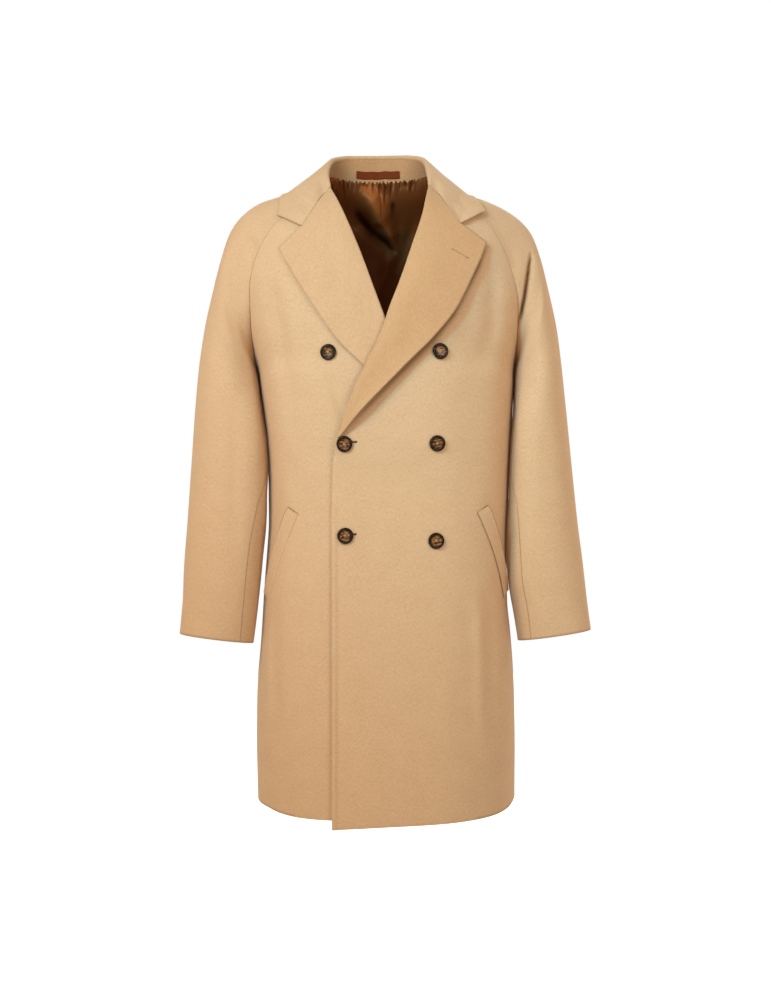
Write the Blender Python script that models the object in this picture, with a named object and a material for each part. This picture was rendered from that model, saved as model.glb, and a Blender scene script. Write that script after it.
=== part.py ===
"""Double-breasted raglan overcoat in heavy wool, filled out as worn, with nobody inside.

Metres, +Z up. The front faces -Y and +X is the wearer's left. The origin lies between the shoulders,
level with the base of the neck, where the wearer carries the coat.
"""
import math

import bmesh
import bpy
import numpy as np
from mathutils import Matrix, Vector
from mathutils.bvhtree import BVHTree

LEFT, RIGHT = 1, -1

# Cloth and sewing
WOOL = 0.0022
SATIN = 0.0010
TAPE = 0.0008
SEAM_GAP = 0.0003
ROLL_GAP = 0.0004

# Lengths that drive the coat
HEM_Z = -0.963
UNDERARM_Z = -0.300
BREAK_Z = -0.394
HEM_DROP_HEIGHT = 0.30
SWAY = 0.009
SWAY_Z = -0.47
SWAY_REACH = 0.17

# How far the over front stands off the under front, and off the under lapel where it crosses that
OVERLAP_LIFT = 0.0042
OVERLAP_FADE_X = (0.09, 0.155)
OVERLAP_FADE_Z = (-0.12, -0.04)
CROSSING_LIFT = 0.0050
CROSSING_FADE_X = (0.06, 0.14)
CROSSING_START_Z = (-0.47, -0.39)
CROSSING_FADE_Z = (-0.19, -0.09)

# Turned edges
LAPEL_ROLL = {LEFT: 0.0042, RIGHT: 0.0033}
LAPEL_EDGE_LIFT = {LEFT: 0.0062, RIGHT: 0.0040}
LAPEL_FLATTENING = 0.30
LAPEL_FLATTENS_FROM = 0.75
LAPEL_END = 0.012
COLLAR_ROLL = 0.0046
COLLAR_CROWN = 0.12
COLLAR_CLEARANCE = 0.0040
COLLAR_SHIFT = -0.004
COLLAR_SAG = {LEFT: 0.0070, RIGHT: 0.0}
COLLAR_SAG_STATIONS = (0.8, 1.6, 2.2, 3.4)

# Trim
BUTTON_RADIUS = 0.0125
BUTTON_HEIGHT = 0.0042
BUTTON_HOLE_RADIUS = 0.0011
BUTTON_HOLE_SPREAD = 0.0023
WELT_WIDTH = 0.024
WELT_LENGTH = 0.155
WELT_GAP = 0.0009
LABEL_WIDTH = 0.070
LABEL_HEIGHT = 0.0118
LABEL_Z = 0.0445
LABEL_GAP = 0.0005

# The back lining: how far it hangs inside the back and the stand, and the gathers at its neck seam
LINING_RISE = 0.0095
LINING_NECK_GAP = 0.0080
LINING_DEPTH = 0.0120
LINING_GATHERS = 22
GATHER_DEPTH = 0.0021
GATHER_LENGTH = 0.032
GATHER_UNEVENNESS = 0.3
NECK_CENTRE_Y = 0.010


def table(columns, rows):
    """A short table as a dictionary of columns; its first column is the station."""
    return dict(zip(columns.split(), np.array(rows, dtype=float).T))


# Half sections of the fronts: the centre, and the side seam that turns into the raglan seam
FRONT = table("z depth edge_x edge_y turn start_pull end_pull", [
    (-0.963, 0.156, 0.2060, 0.022, 90, 0.435, 0.345),
    (-0.800, 0.154, 0.2080, 0.022, 90, 0.445, 0.360),
    (-0.620, 0.152, 0.1985, 0.022, 90, 0.455, 0.385),
    (-0.450, 0.150, 0.1930, 0.022, 90, 0.455, 0.395),
    (-0.300, 0.150, 0.1990, 0.022, 90, 0.465, 0.405),
    (-0.255, 0.148, 0.2035, -0.032, 82, 0.372, 0.240),
    (-0.205, 0.143, 0.2065, -0.060, 66, 0.340, 0.205),
    (-0.160, 0.136, 0.2065, -0.073, 54, 0.305, 0.185),
    (-0.125, 0.127, 0.2015, -0.077, 46, 0.265, 0.175),
    (-0.090, 0.116, 0.1880, -0.076, 40, 0.235, 0.160),
    (-0.058, 0.104, 0.1690, -0.071, 37, 0.200, 0.140),
    (-0.030, 0.093, 0.1320, -0.062, 35, 0.150, 0.110),
    (-0.006, 0.081, 0.0860, -0.047, 35, 0.095, 0.075),
    (0.020, 0.066, 0.0700, -0.034, 35, 0.075, 0.060)])

BACK = table("z depth edge_x edge_y turn start_pull end_pull", [
    (-0.963, 0.145, 0.2060, 0.022, 90, 0.355, 0.235),
    (-0.800, 0.141, 0.2080, 0.022, 90, 0.355, 0.228),
    (-0.620, 0.133, 0.1985, 0.022, 90, 0.345, 0.215),
    (-0.450, 0.124, 0.1930, 0.022, 90, 0.335, 0.200),
    (-0.300, 0.128, 0.1990, 0.022, 90, 0.340, 0.208),
    (-0.255, 0.131, 0.2020, 0.045, 80, 0.335, 0.195),
    (-0.200, 0.133, 0.2000, 0.076, 62, 0.310, 0.175),
    (-0.140, 0.130, 0.1900, 0.092, 46, 0.265, 0.155),
    (-0.085, 0.123, 0.1700, 0.096, 36, 0.215, 0.140),
    (-0.040, 0.114, 0.1420, 0.090, 32, 0.170, 0.125),
    (0.000, 0.102, 0.1040, 0.078, 32, 0.120, 0.095),
    (0.025, 0.090, 0.0740, 0.064, 35, 0.085, 0.070)])

# The sleeve from the neck (0) past the underarm (8) to the cuff (16): where it leaves the raglan seams or
# its own inner line, its outer line over the shoulder, and how it leaves the seam
SLEEVE = table("station front_z back_z gap inner_y top_x top_y top_z lift fold"
               " front_pull back_pull top_pull", [
    (0, -0.006, 0.025, 0.0, 0.0, 0.090, 0.006, 0.021, 40, 0, 0.055, 0.055, 0.065),
    (1, -0.030, 0.000, 0.0, 0.0, 0.125, 0.006, 0.008, 40, 0, 0.075, 0.075, 0.095),
    (2, -0.058, -0.030, 0.0, 0.0, 0.163, 0.006, -0.006, 40, 0, 0.085, 0.085, 0.115),
    (3, -0.090, -0.065, 0.0, 0.0, 0.198, 0.005, -0.0215, 40, 0, 0.095, 0.095, 0.130),
    (4, -0.125, -0.105, 0.0, 0.0, 0.2256, 0.004, -0.043, 38, 6, 0.100, 0.100, 0.140),
    (5, -0.160, -0.150, 0.0, 0.0, 0.2415, 0.002, -0.066, 32, 28, 0.110, 0.110, 0.155),
    (6, -0.205, -0.205, 0.0, 0.0, 0.2540, 0.000, -0.104, 22, 75, 0.150, 0.140, 0.195),
    (7, -0.255, -0.255, 0.0, 0.0, 0.2660, -0.003, -0.153, 10, 138, 0.215, 0.195, 0.245),
    (8, -0.300, -0.300, 0.0, 0.0, 0.2790, -0.006, -0.212, 0, 180, 0.290, 0.250, 0.280),
    (9, -0.345, -0.345, 0.0040, -0.024, 0.2880, -0.009, -0.270, 0, 176, 0.285, 0.255, 0.272),
    (10, -0.395, -0.395, 0.0045, -0.042, 0.2950, -0.012, -0.335, 0, 170, 0.265, 0.255, 0.260),
    (11, -0.445, -0.445, 0.0030, -0.050, 0.3005, -0.015, -0.398, 0, 170, 0.250, 0.250, 0.250),
    (12, -0.500, -0.500, 0.0020, -0.055, 0.3060, -0.018, -0.462, 0, 170, 0.238, 0.240, 0.240),
    (13, -0.555, -0.555, 0.0030, -0.060, 0.3120, -0.022, -0.528, 0, 170, 0.225, 0.228, 0.228),
    (14, -0.610, -0.610, 0.0040, -0.063, 0.3190, -0.027, -0.590, 0, 170, 0.210, 0.213, 0.213),
    (15, -0.665, -0.665, 0.0060, -0.064, 0.3240, -0.032, -0.648, 0, 170, 0.194, 0.196, 0.196),
    (16, -0.712, -0.712, 0.009, -0.064, 0.3280, -0.037, -0.696, 0, 170, 0.180, 0.180, 0.180)])

# How far the underarm seam has drifted on to the front half of the sleeve
UNDER_SEAM = table("station drift", [(0, 0), (10.2, 0), (11, 0.07), (12, 0.15), (13, 0.19),
                                     (14, 0.205), (15, 0.205), (16, 0.20), (17, 0.20)])

# How far the inner front corner of the sleeve is pressed square against the body, and where round the sleeve it is
SLEEVE_CORNER = table("station square", [(0, 0), (8, 0), (9, 0.005), (10, 0.009), (12, 0.010), (14, 0.005),
                                         (16, 0.003), (17, 0.003)])
CORNER_S, CORNER_REACH = 0.25, 0.12

# How each arm hangs away from an even pair: its outer line out and up, and its inner line in
ARM = {
    LEFT: table("station out up inward", [
        (0, 0, -0.0060, 0), (1, 0, -0.0085, 0), (2, 0, -0.0030, 0), (3, 0, -0.0040, 0), (4, 0, -0.0030, 0),
        (6, 0, 0, 0), (8, -0.0010, 0, 0), (9, -0.0030, 0, 0.0030), (10, -0.0040, 0, 0.0020),
        (12, -0.0040, 0, 0.0015), (13, -0.0040, 0, 0.0030), (14, -0.0040, 0, 0.0030),
        (15, -0.0035, 0, 0.0008), (16, -0.0020, 0, 0.0015)]),
    RIGHT: table("station out up inward", [
        (0, 0, 0, 0), (1, 0, 0.0010, 0), (2, 0, 0.0045, 0), (3, 0, 0.0075, 0), (4, 0.0010, 0.0060, 0),
        (6, 0.0020, 0, 0), (8, 0.0030, 0, 0), (9, 0.0030, 0, 0.0035), (10, 0.0025, 0, 0.0040),
        (12, 0.0010, 0, 0.0020), (13, 0, 0, 0.0003), (14, -0.0020, 0, 0.0024), (15, -0.0045, 0, 0.0024),
        (16, -0.0040, 0, 0.0005)])}

# How far each side of the body stands out from an even pair
WIDER = {
    LEFT: table("z out", [(-0.963, 0), (-0.900, 0), (-0.800, -0.0015), (-0.700, -0.0035),
                          (-0.650, -0.0060), (-0.570, -0.0060), (-0.460, 0), (-0.370, 0.0060),
                          (-0.300, 0.0085), (-0.250, 0.0070), (-0.180, 0.0070), (-0.150, 0.0030),
                          (-0.120, 0), (0.025, 0)]),
    RIGHT: table("z out", [(-0.963, 0), (-0.900, 0), (-0.800, -0.0020), (-0.710, -0.0045), (-0.620, -0.0026),
                           (-0.540, -0.0026), (-0.480, -0.0005), (-0.440, 0), (0.025, 0)])}

# How far the hem of each front hangs below the side seams
HEM_DROP = {
    LEFT: table("x drop", [(-0.100, 0.0288), (0.000, 0.0232), (0.120, 0.0192), (0.165, 0.0158),
                           (0.190, 0.0100), (0.206, 0)]),
    RIGHT: table("x drop", [(-0.206, 0), (-0.185, 0.0035), (-0.165, 0.0085), (-0.130, 0.0125),
                            (-0.090, 0.0138), (0.080, 0.0138)])}

# Front edge of the over front below the break, and the hidden edge of the under front
FRONT_EDGE = {
    LEFT: table("z x", [(-0.970, -0.085), (-0.700, -0.082), (-0.500, -0.080), (-0.430, -0.077),
                        (BREAK_Z, -0.0685)]),
    RIGHT: table("z x", [(-0.970, 0.074), (-0.700, 0.074), (-0.500, 0.074), (-0.430, 0.075),
                         (BREAK_Z, 0.073)])}

# Roll lines from the break up to the gorge, and the outlines of the lapels from the point to the break
GORGE_Z = 0.004
ROLL = {
    LEFT: table("z x", [(BREAK_Z, -0.0685), (-0.337, -0.0472), (-0.280, -0.0200), (-0.231, 0.0040),
                        (-0.196, 0.0157), (-0.153, 0.0327), (-0.097, 0.0519), (-0.046, 0.0686),
                        (GORGE_Z, 0.0790)]),
    RIGHT: table("z x", [(BREAK_Z, 0.0730), (-0.300, 0.0360), (-0.200, -0.0008), (-0.167, -0.0127),
                         (-0.103, -0.0353), (-0.045, -0.0585), (GORGE_Z, -0.0805)])}
LAPEL_EDGE = {
    LEFT: table("station x z", [(0, 0.1614, -0.0943), (1, 0.1467, -0.1265), (2, 0.1063, -0.2034),
                                (3, 0.0750, -0.2425), (4, 0.0187, -0.2993), (5, -0.0281, -0.3465),
                                (6, -0.0660, -0.3910)]),
    RIGHT: table("station x z", [(0, -0.1579, -0.0974), (1, -0.1312, -0.1454), (2, -0.1002, -0.1942),
                                 (3, -0.0668, -0.2425), (4, -0.0275, -0.2825), (5, 0.0220, -0.3370),
                                 (6, 0.0700, -0.3910)])}
NOTCH = {LEFT: (0.1214, -0.0625), RIGHT: (-0.1211, -0.0620)}
COLLAR_TIP = {LEFT: (0.1620, -0.0410), RIGHT: (-0.1610, -0.0410)}

# The collar from its front end (0) to the centre back (5): fold, outer edge and the base of its stand
COLLAR = table("station fold_x fold_y fold_z edge_x edge_y edge_z base_x base_y base_z", [
    (0, 0.0800, -0.047, 0.0040, 0.162, -0.064, -0.041, 0.0800, -0.042, -0.0060),
    (1, 0.0812, -0.018, 0.0240, 0.157, -0.032, -0.015, 0.0825, -0.022, 0.0060),
    (2, 0.0800, 0.015, 0.0420, 0.149, 0.006, 0.001, 0.0850, 0.008, 0.0190),
    (3, 0.0710, 0.056, 0.0630, 0.126, 0.066, 0.000, 0.0715, 0.054, 0.0225),
    (4, 0.0420, 0.079, 0.0715, 0.072, 0.102, -0.006, 0.0400, 0.076, 0.0220),
    (5, 0.0000, 0.086, 0.0725, 0.000, 0.113, -0.010, 0.0000, 0.0840, 0.0215)])

# Large folds of the back lining, from one place to another in a front view; height is towards the front
LINING_FOLDS = table("fold x z to_x to_z width height", [
    (0, -0.026, 0.012, 0.020, -0.066, 0.020, 0.010),
    (1, -0.046, -0.016, 0.019, -0.077, 0.010, -0.004),
    (2, 0.054, -0.035, 0.028, -0.098, 0.012, -0.003),
    (3, -0.020, -0.110, -0.012, -0.240, 0.018, 0.006),
    (4, 0.090, -0.200, 0.100, -0.720, 0.030, 0.010),
    (5, -0.070, -0.260, -0.085, -0.800, 0.034, 0.012)])

# Half outline of a button from the middle of its back over the raised rim to its dished middle, as shares of
# its radius and height
BUTTON = table("station radius height", [(0, 0, 0), (1, 0.86, 0), (2, 1.0, 0.35), (3, 0.97, 0.80),
                                         (4, 0.84, 1.0), (5, 0.66, 0.70), (6, 0, 0.70)])

# Buttons by their place on the fronts
BUTTONS = [("button_top_right", RIGHT, -0.0815, -0.2610), ("button_top_left", LEFT, 0.0890, -0.2620),
           ("button_middle_right", LEFT, -0.0580, -0.4020), ("button_middle_left", LEFT, 0.0830, -0.4025),
           ("button_low_right", LEFT, -0.0580, -0.5420), ("button_low_left", LEFT, 0.0800, -0.5510)]

# Inner top corner of each welt, how far its long edge goes out for each step down, and its top edge up
WELT = {LEFT: dict(x=0.1430, z=-0.508, slant=0.56, rise=0.52),
        RIGHT: dict(x=-0.1290, z=-0.508, slant=0.56, rise=0.52)}


def through(tab, column, at):
    """A column read at any station, on a smooth curve through the rows that never overshoots them."""
    key, value = next(iter(tab.values())), tab[column]
    order = np.argsort(key)
    key, value = key[order], value[order]
    step = np.diff(key)
    slope = np.diff(value) / step
    both = slope[:-1] * slope[1:]
    inner = np.where(both > 0, 2 * both / np.where(both > 0, slope[:-1] + slope[1:], 1), 0)
    tangent = np.concatenate([slope[:1], inner, slope[-1:]])
    at = np.asarray(at, dtype=float)
    cell = np.clip(np.searchsorted(key, at) - 1, 0, len(step) - 1)
    s = np.clip((at - key[cell]) / step[cell], 0, 1)
    past = at - np.clip(at, key[0], key[-1])
    curve = ((2 * s**3 - 3 * s**2 + 1) * value[cell] + (s**3 - 2 * s**2 + s) * step[cell] * tangent[cell]
             + (3 * s**2 - 2 * s**3) * value[cell + 1] + (s**3 - s**2) * step[cell] * tangent[cell + 1])
    return curve + past * np.where(past > 0, tangent[-1], tangent[0])


def smoothstep(low, high, at):
    s = np.clip((at - low) / (high - low), 0, 1)
    return s * s * (3 - 2 * s)


def hermite(start, end, leave, arrive, s):
    s = np.asarray(s)[..., None]
    return ((2 * s**3 - 3 * s**2 + 1) * start + (s**3 - 2 * s**2 + s) * leave
            + (3 * s**2 - 2 * s**3) * end + (s**3 - s**2) * arrive)


def stack(*columns):
    return np.stack(np.broadcast_arrays(*columns), axis=-1)


def unit(vectors):
    return vectors / np.linalg.norm(vectors, axis=-1, keepdims=True)


def sway(z):
    """The body hangs a little to the wearer's left at the waist."""
    return SWAY * np.exp(-((z - SWAY_Z) / SWAY_REACH) ** 2)


def half_section(tab, facing, s, z, side):
    """Local x and y of a half section, s from 0 at the centre to 1 at the seam; the front faces -1."""
    turn = np.radians(through(tab, "turn", z))
    pull = through(tab, "end_pull", z)
    nothing = np.zeros_like(turn)
    edge_x = through(tab, "edge_x", z) + through(WIDER[side], "out", z)
    curve = hermite(stack(nothing, facing * through(tab, "depth", z)),
                    stack(edge_x, through(tab, "edge_y", z)),
                    stack(through(tab, "start_pull", z), nothing),
                    stack(pull * np.cos(turn), -facing * pull * np.sin(turn)), np.abs(s))
    return np.sign(s) * curve[..., 0], curve[..., 1]


def over_lift(x, z):
    """How far the over front stands off: over the under front, and more over the under lapel."""
    overlap = (1 - smoothstep(*OVERLAP_FADE_X, x)) * (1 - smoothstep(*OVERLAP_FADE_Z, z))
    crossing = smoothstep(*CROSSING_START_Z, z) * (1 - smoothstep(*CROSSING_FADE_Z, z))
    return OVERLAP_LIFT * overlap + CROSSING_LIFT * crossing * (1 - smoothstep(*CROSSING_FADE_X, x))


def front_point(side, s, z):
    """A point on a front's outer face; s < 0 crosses the centre to the other side."""
    x, y = half_section(FRONT, -1, s, z, side)
    x = side * x + sway(z)
    if side == LEFT:
        y = y - over_lift(x, z)
    drop = np.maximum(through(HEM_DROP[side], "drop", x), 0)
    return stack(x, y, z - drop * (1 - smoothstep(HEM_Z, HEM_Z + HEM_DROP_HEIGHT, z)))


def back_point(s, z):
    x, y = np.where(s > 0, half_section(BACK, 1, s, z, LEFT), half_section(BACK, 1, s, z, RIGHT))
    return stack(x + sway(z), y, z)


SECTION = np.linspace(-1, 1, 161)


def front_s(side, x, z):
    """The place s along a front's section where it passes x."""
    x, z = np.broadcast_arrays(np.asarray(x, dtype=float), np.asarray(z, dtype=float))
    lines = [side * front_point(side, SECTION, np.full(len(SECTION), one_z))[:, 0] for one_z in z.ravel()]
    flat = [np.interp(side * one_x, line, SECTION) for one_x, line in zip(x.ravel(), lines)]
    return np.array(flat).reshape(x.shape)


def front_round(side, x, distance, z):
    """The place s on a front's section at a distance round the body from x, towards the side."""
    line = front_point(side, SECTION, np.full(len(SECTION), z))
    length = np.concatenate([[0], np.cumsum(np.linalg.norm(np.diff(line, axis=0), axis=-1))])
    start = np.interp(side * x, side * line[:, 0], length)
    return np.interp(start + distance, length, SECTION)


def front_at(side, x, z):
    """The point of a front's outer face straight behind x, z in a front view, with its outward normal."""
    def face(x, z):
        return front_point(side, front_s(side, x, z), z)[..., 1]
    small = 0.001
    slope_x = (face(x + small, z) - face(x - small, z)) / (2 * small)
    slope_z = (face(x, z + small) - face(x, z - small)) / (2 * small)
    return stack(x, face(x, z), z), unit(stack(slope_x, -np.ones_like(slope_x), slope_z))


def sleeve_line(side, station, part):
    """The line where the sleeve starts: the front or back raglan seam, then its inner line to the cuff."""
    tab, column = (FRONT, "front_z") if part == "front" else (BACK, "back_z")
    z = through(SLEEVE, column, station)
    x = through(tab, "edge_x", z) + through(WIDER[side], "out", z)
    x = x + through(SLEEVE, "gap", station) - through(ARM[side], "inward", station)
    y = through(tab, "edge_y", z) + through(SLEEVE, "inner_y", station)
    return stack(side * x + sway(z), y, z)


def sleeve_point(side, part, s, station):
    """A point on half a sleeve, s from 0 on its seam or inner line to 1 on the outer line."""
    s, station = np.broadcast_arrays(np.asarray(s, dtype=float), np.asarray(station, dtype=float))
    facing = -1 if part == "front" else 1
    tab, column = (FRONT, "front_z") if part == "front" else (BACK, "back_z")
    seam = sleeve_line(side, station, part)
    small = 0.02
    down = unit(sleeve_line(side, station + small, part) - sleeve_line(side, station - small, part))
    turn = np.radians(through(tab, "turn", through(SLEEVE, column, station)))
    along = stack(side * np.cos(turn), -facing * np.sin(turn), np.zeros_like(turn))
    out = unit(np.cross(along, down)) * -facing * -side
    lift = np.radians(through(SLEEVE, "lift", station))[..., None]
    fold = np.radians(through(SLEEVE, "fold", station))[..., None]
    leave = np.cos(fold) * (np.cos(lift) * along - np.sin(lift) * down) + np.sin(fold) * out
    leave = leave * through(SLEEVE, part + "_pull", station)[..., None]
    nothing = np.zeros_like(station)
    top_x = through(SLEEVE, "top_x", station) + through(ARM[side], "out", station)
    top_z = through(SLEEVE, "top_z", station) + through(ARM[side], "up", station)
    top = stack(side * top_x, through(SLEEVE, "top_y", station), top_z)
    arrive = stack(nothing, -facing * through(SLEEVE, "top_pull", station), nothing)
    shape = hermite(seam, top, leave, arrive, s)
    if part == "front":
        squarer = through(SLEEVE_CORNER, "square", station) * np.exp(-((s - CORNER_S) / CORNER_REACH) ** 2)
        shape[..., 0] -= side * squarer
    return shape


def under_seam(station):
    """How far the sleeve's underarm seam has drifted on to its front, as a place on the front half."""
    return through(UNDER_SEAM, "drift", station)


def normals(grid, sign):
    across = np.gradient(grid, axis=1, edge_order=2)
    along = np.gradient(grid, axis=0, edge_order=2)
    return sign * unit(np.cross(across, along))


def trimmed(grid, first_row=0.0, last_row=0.0, first_column=0.0, last_column=0.0):
    """The grid with its borders drawn in along the cloth."""
    grid = grid.copy()
    for near, next_one, amount in ((np.s_[0], np.s_[1], first_row), (np.s_[-1], np.s_[-2], last_row),
                                   (np.s_[:, 0], np.s_[:, 1], first_column),
                                   (np.s_[:, -1], np.s_[:, -2], last_column)):
        if amount:
            grid[near] += amount * unit(grid[next_one] - grid[near])
    return grid


def split(points, a, b, c, d):
    """Two triangles over four corners that go round, split along the shorter diagonal."""
    if np.linalg.norm(points[a] - points[c]) < np.linalg.norm(points[b] - points[d]):
        return [(a, b, c), (a, c, d)]
    return [(a, b, d), (b, c, d)]


def triangles(grid):
    """Faces over a grid of points."""
    rows, columns = grid.shape[:2]
    points = grid.reshape(-1, 3)
    corners = [r * columns + c for r in range(rows - 1) for c in range(columns - 1)]
    return [face for a in corners for face in split(points, a, a + 1, a + columns + 1, a + columns)]


SHARP_EDGE = math.radians(50)


def finished(name, body, material):
    """A closed body with its faces pointing out, as a named object."""
    mesh = bpy.data.meshes.new(name)
    bmesh.ops.recalc_face_normals(body, faces=body.faces)
    body.to_mesh(mesh)
    body.free()
    mesh.materials.append(material)
    mesh.shade_smooth()
    mesh.set_sharp_from_angle(angle=SHARP_EDGE)
    piece = bpy.data.objects.new(name, mesh)
    bpy.context.scene.collection.objects.link(piece)
    return piece


def wall(name, grid, face_out, thickness, material):
    """Cloth as a closed wall: the grid is its shown face, moved in by the thickness, with a rim round it."""
    rows, columns = grid.shape[:2]
    points = np.concatenate([grid.reshape(-1, 3), (grid - face_out * thickness).reshape(-1, 3)])
    count = rows * columns
    rim = ([r * columns for r in range(rows)] + [(rows - 1) * columns + c for c in range(1, columns)]
           + [r * columns + columns - 1 for r in range(rows - 2, -1, -1)] + list(range(columns - 2, 0, -1)))
    shown = triangles(grid)
    faces = shown + [tuple(corner + count for corner in face[::-1]) for face in shown]
    for a, b in zip(rim, rim[1:] + rim[:1]):
        faces += split(points, a, b, b + count, a + count)
    body = bmesh.new()
    corners = [body.verts.new(point) for point in points]
    for face in faces:
        body.faces.new([corners[index] for index in face])
    return finished(name, body, material)


def finish(name, colour, roughness):
    material = bpy.data.materials.new(name)
    material.use_nodes = True
    shader = material.node_tree.nodes["Principled BSDF"]
    shader.inputs["Base Color"].default_value = (*colour, 1)
    shader.inputs["Roughness"].default_value = roughness
    return material


for leftover in list(bpy.data.objects):
    bpy.data.objects.remove(leftover)

wool = finish("camel_wool", (0.60, 0.36, 0.17), 0.9)
satin = finish("lining_satin", (0.085, 0.030, 0.012), 0.35)
tape = finish("label_tape", (0.11, 0.033, 0.010), 0.7)
horn = finish("dark_horn", (0.035, 0.016, 0.008), 0.25)

HANDS = ((LEFT, "left"), (RIGHT, "right"))
HALF = SEAM_GAP / 2

# Rows of the body, shared by the panels that meet at a seam: eleven to the break, then up to the underarm,
# then by sleeve stations up the raglan seam
SKIRT_ROWS = np.concatenate([np.linspace(0, 1, 11), np.linspace(1, 2, 4)[1:]])
RAGLAN_STATIONS = np.linspace(8, 0, 13)
ARM_STATIONS = np.linspace(8, 16, 10)[1:]
FRONT_COLUMNS, BACK_COLUMNS, SLEEVE_FRONT_COLUMNS, SLEEVE_BACK_COLUMNS = 13, 15, 7, 9


def body_rows(column):
    """Heights from the hem by the break to the underarm, then up the raglan seam to the neck."""
    skirt = np.interp(SKIRT_ROWS, [0, 1, 2], [HEM_Z, BREAK_Z, UNDERARM_Z])
    return np.concatenate([skirt, through(SLEEVE, column, RAGLAN_STATIONS)[1:]])


def front_grid(side):
    """From the front edge or roll line out to the side and raglan seams."""
    z = body_rows("front_z")
    edge_x = np.where(z < BREAK_Z, through(FRONT_EDGE[side], "x", z), through(ROLL[side], "x", z))
    edge_s = front_s(side, edge_x, z)[:, None]
    return front_point(side, edge_s + (1 - edge_s) * np.linspace(0, 1, FRONT_COLUMNS), z[:, None])


def back_grid():
    return back_point(np.linspace(-1, 1, BACK_COLUMNS)[None, :], body_rows("back_z")[:, None])


SLEEVE_ROWS = np.concatenate([RAGLAN_STATIONS[::-1], ARM_STATIONS])[:, None]


def sleeve_front_grid(side):
    start = under_seam(SLEEVE_ROWS)
    place = start + (1 - start) * np.linspace(0, 1, SLEEVE_FRONT_COLUMNS)
    return sleeve_point(side, "front", place, SLEEVE_ROWS)


def sleeve_back_grid(side):
    """From the shoulder line round the back and under the arm to the seam on the sleeve's front."""
    reach = np.linspace(0, 1, SLEEVE_BACK_COLUMNS) * (1 + under_seam(SLEEVE_ROWS))
    behind = sleeve_point(side, "back", 1 - np.minimum(reach, 1), SLEEVE_ROWS)
    before = sleeve_point(side, "front", np.maximum(reach - 1, 0), SLEEVE_ROWS)
    return np.where((reach > 1)[..., None], before, behind)


panels = {"back": back_grid()}
facing = {"back": -1}
for side, hand in HANDS:
    panels.update({"front_" + hand: front_grid(side), "sleeve_front_" + hand: sleeve_front_grid(side),
                   "sleeve_back_" + hand: sleeve_back_grid(side)})
    facing.update({"front_" + hand: side, "sleeve_front_" + hand: -side, "sleeve_back_" + hand: -side})
out = {name: normals(grid, facing[name]) for name, grid in panels.items()}


def meet(first, first_place, second, second_place):
    """Panels that run smoothly into each other at a seam share the direction of their thickness there."""
    shared = unit(out[first][first_place] + out[second][second_place])
    out[first][first_place], out[second][second_place] = shared, shared


SKIRT, RAGLAN = len(SKIRT_ROWS), len(RAGLAN_STATIONS)
SMOOTH_FOLD = 50
smooth_raglan = int(np.sum(through(SLEEVE, "fold", RAGLAN_STATIONS) < SMOOTH_FOLD))
for side, hand in HANDS:
    front, fore, rear = "front_" + hand, "sleeve_front_" + hand, "sleeve_back_" + hand
    back_edge = -1 if side == LEFT else 0
    meet(front, np.s_[:SKIRT, -1], "back", np.s_[:SKIRT, back_edge])
    meet(front, np.s_[:-smooth_raglan - 1:-1, -1], fore, np.s_[:smooth_raglan, 0])
    meet("back", np.s_[:-smooth_raglan - 1:-1, back_edge], rear, np.s_[:smooth_raglan, -1])
    meet(fore, np.s_[:, -1], rear, np.s_[:, 0])
    meet(fore, np.s_[RAGLAN:, 0], rear, np.s_[RAGLAN:, -1])

for name in panels:
    panels[name] = trimmed(panels[name], first_column=HALF, last_column=HALF)
    wall(name, panels[name], out[name], WOOL, wool)

# What the collar and buttons lie on: the shown faces of the fronts, back and sleeves
ground_vertices, ground_faces = [], []
for name, grid in panels.items():
    first = len(ground_vertices)
    ground_faces += [tuple(corner + first for corner in face) for face in triangles(grid)]
    ground_vertices += [Vector(point) for point in grid.reshape(-1, 3)]
ground = BVHTree.FromPolygons(ground_vertices, ground_faces)

# Lapels: the facing turned back on the roll line, round its edge and out over the front to its point
BEND_ANGLES = np.radians((-90, -40, 10, 55))
ACROSS = np.array((0, 0.21, 0.42, 0.63, 0.82, 1.0))
CORNER = 3
GORGE = np.s_[:len(BEND_ANGLES) + CORNER + 1]


def bent_line(start, corner, end, across, corner_at):
    """Points along two straight stretches that meet at a corner, in a front view."""
    start, corner, end = (np.asarray(place) for place in (start, corner, end))
    before = start + (corner - start) * (across / corner_at)[:, None]
    after = corner + (end - corner) * ((across - corner_at) / (1 - corner_at))[:, None]
    return np.where((across < corner_at)[:, None], before, after)


def turned_edge(line, toward, face_out, radius):
    """Columns of a soft turned edge along a line, from under it round to its shown side."""
    tangent = unit(np.gradient(line, axis=0))
    lifted = unit(face_out - tangent * np.sum(face_out * tangent, axis=-1, keepdims=True))
    inward = np.cross(tangent, lifted)
    inward = inward * np.sign(np.sum(inward * toward, axis=-1, keepdims=True))
    radius = np.broadcast_to(radius, line.shape[:1])[:, None]
    columns = [line - inward * radius * math.cos(angle) + lifted * (radius * (1 + math.sin(angle)) - WOOL)
               for angle in BEND_ANGLES]
    return np.stack(columns, axis=1)


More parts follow.
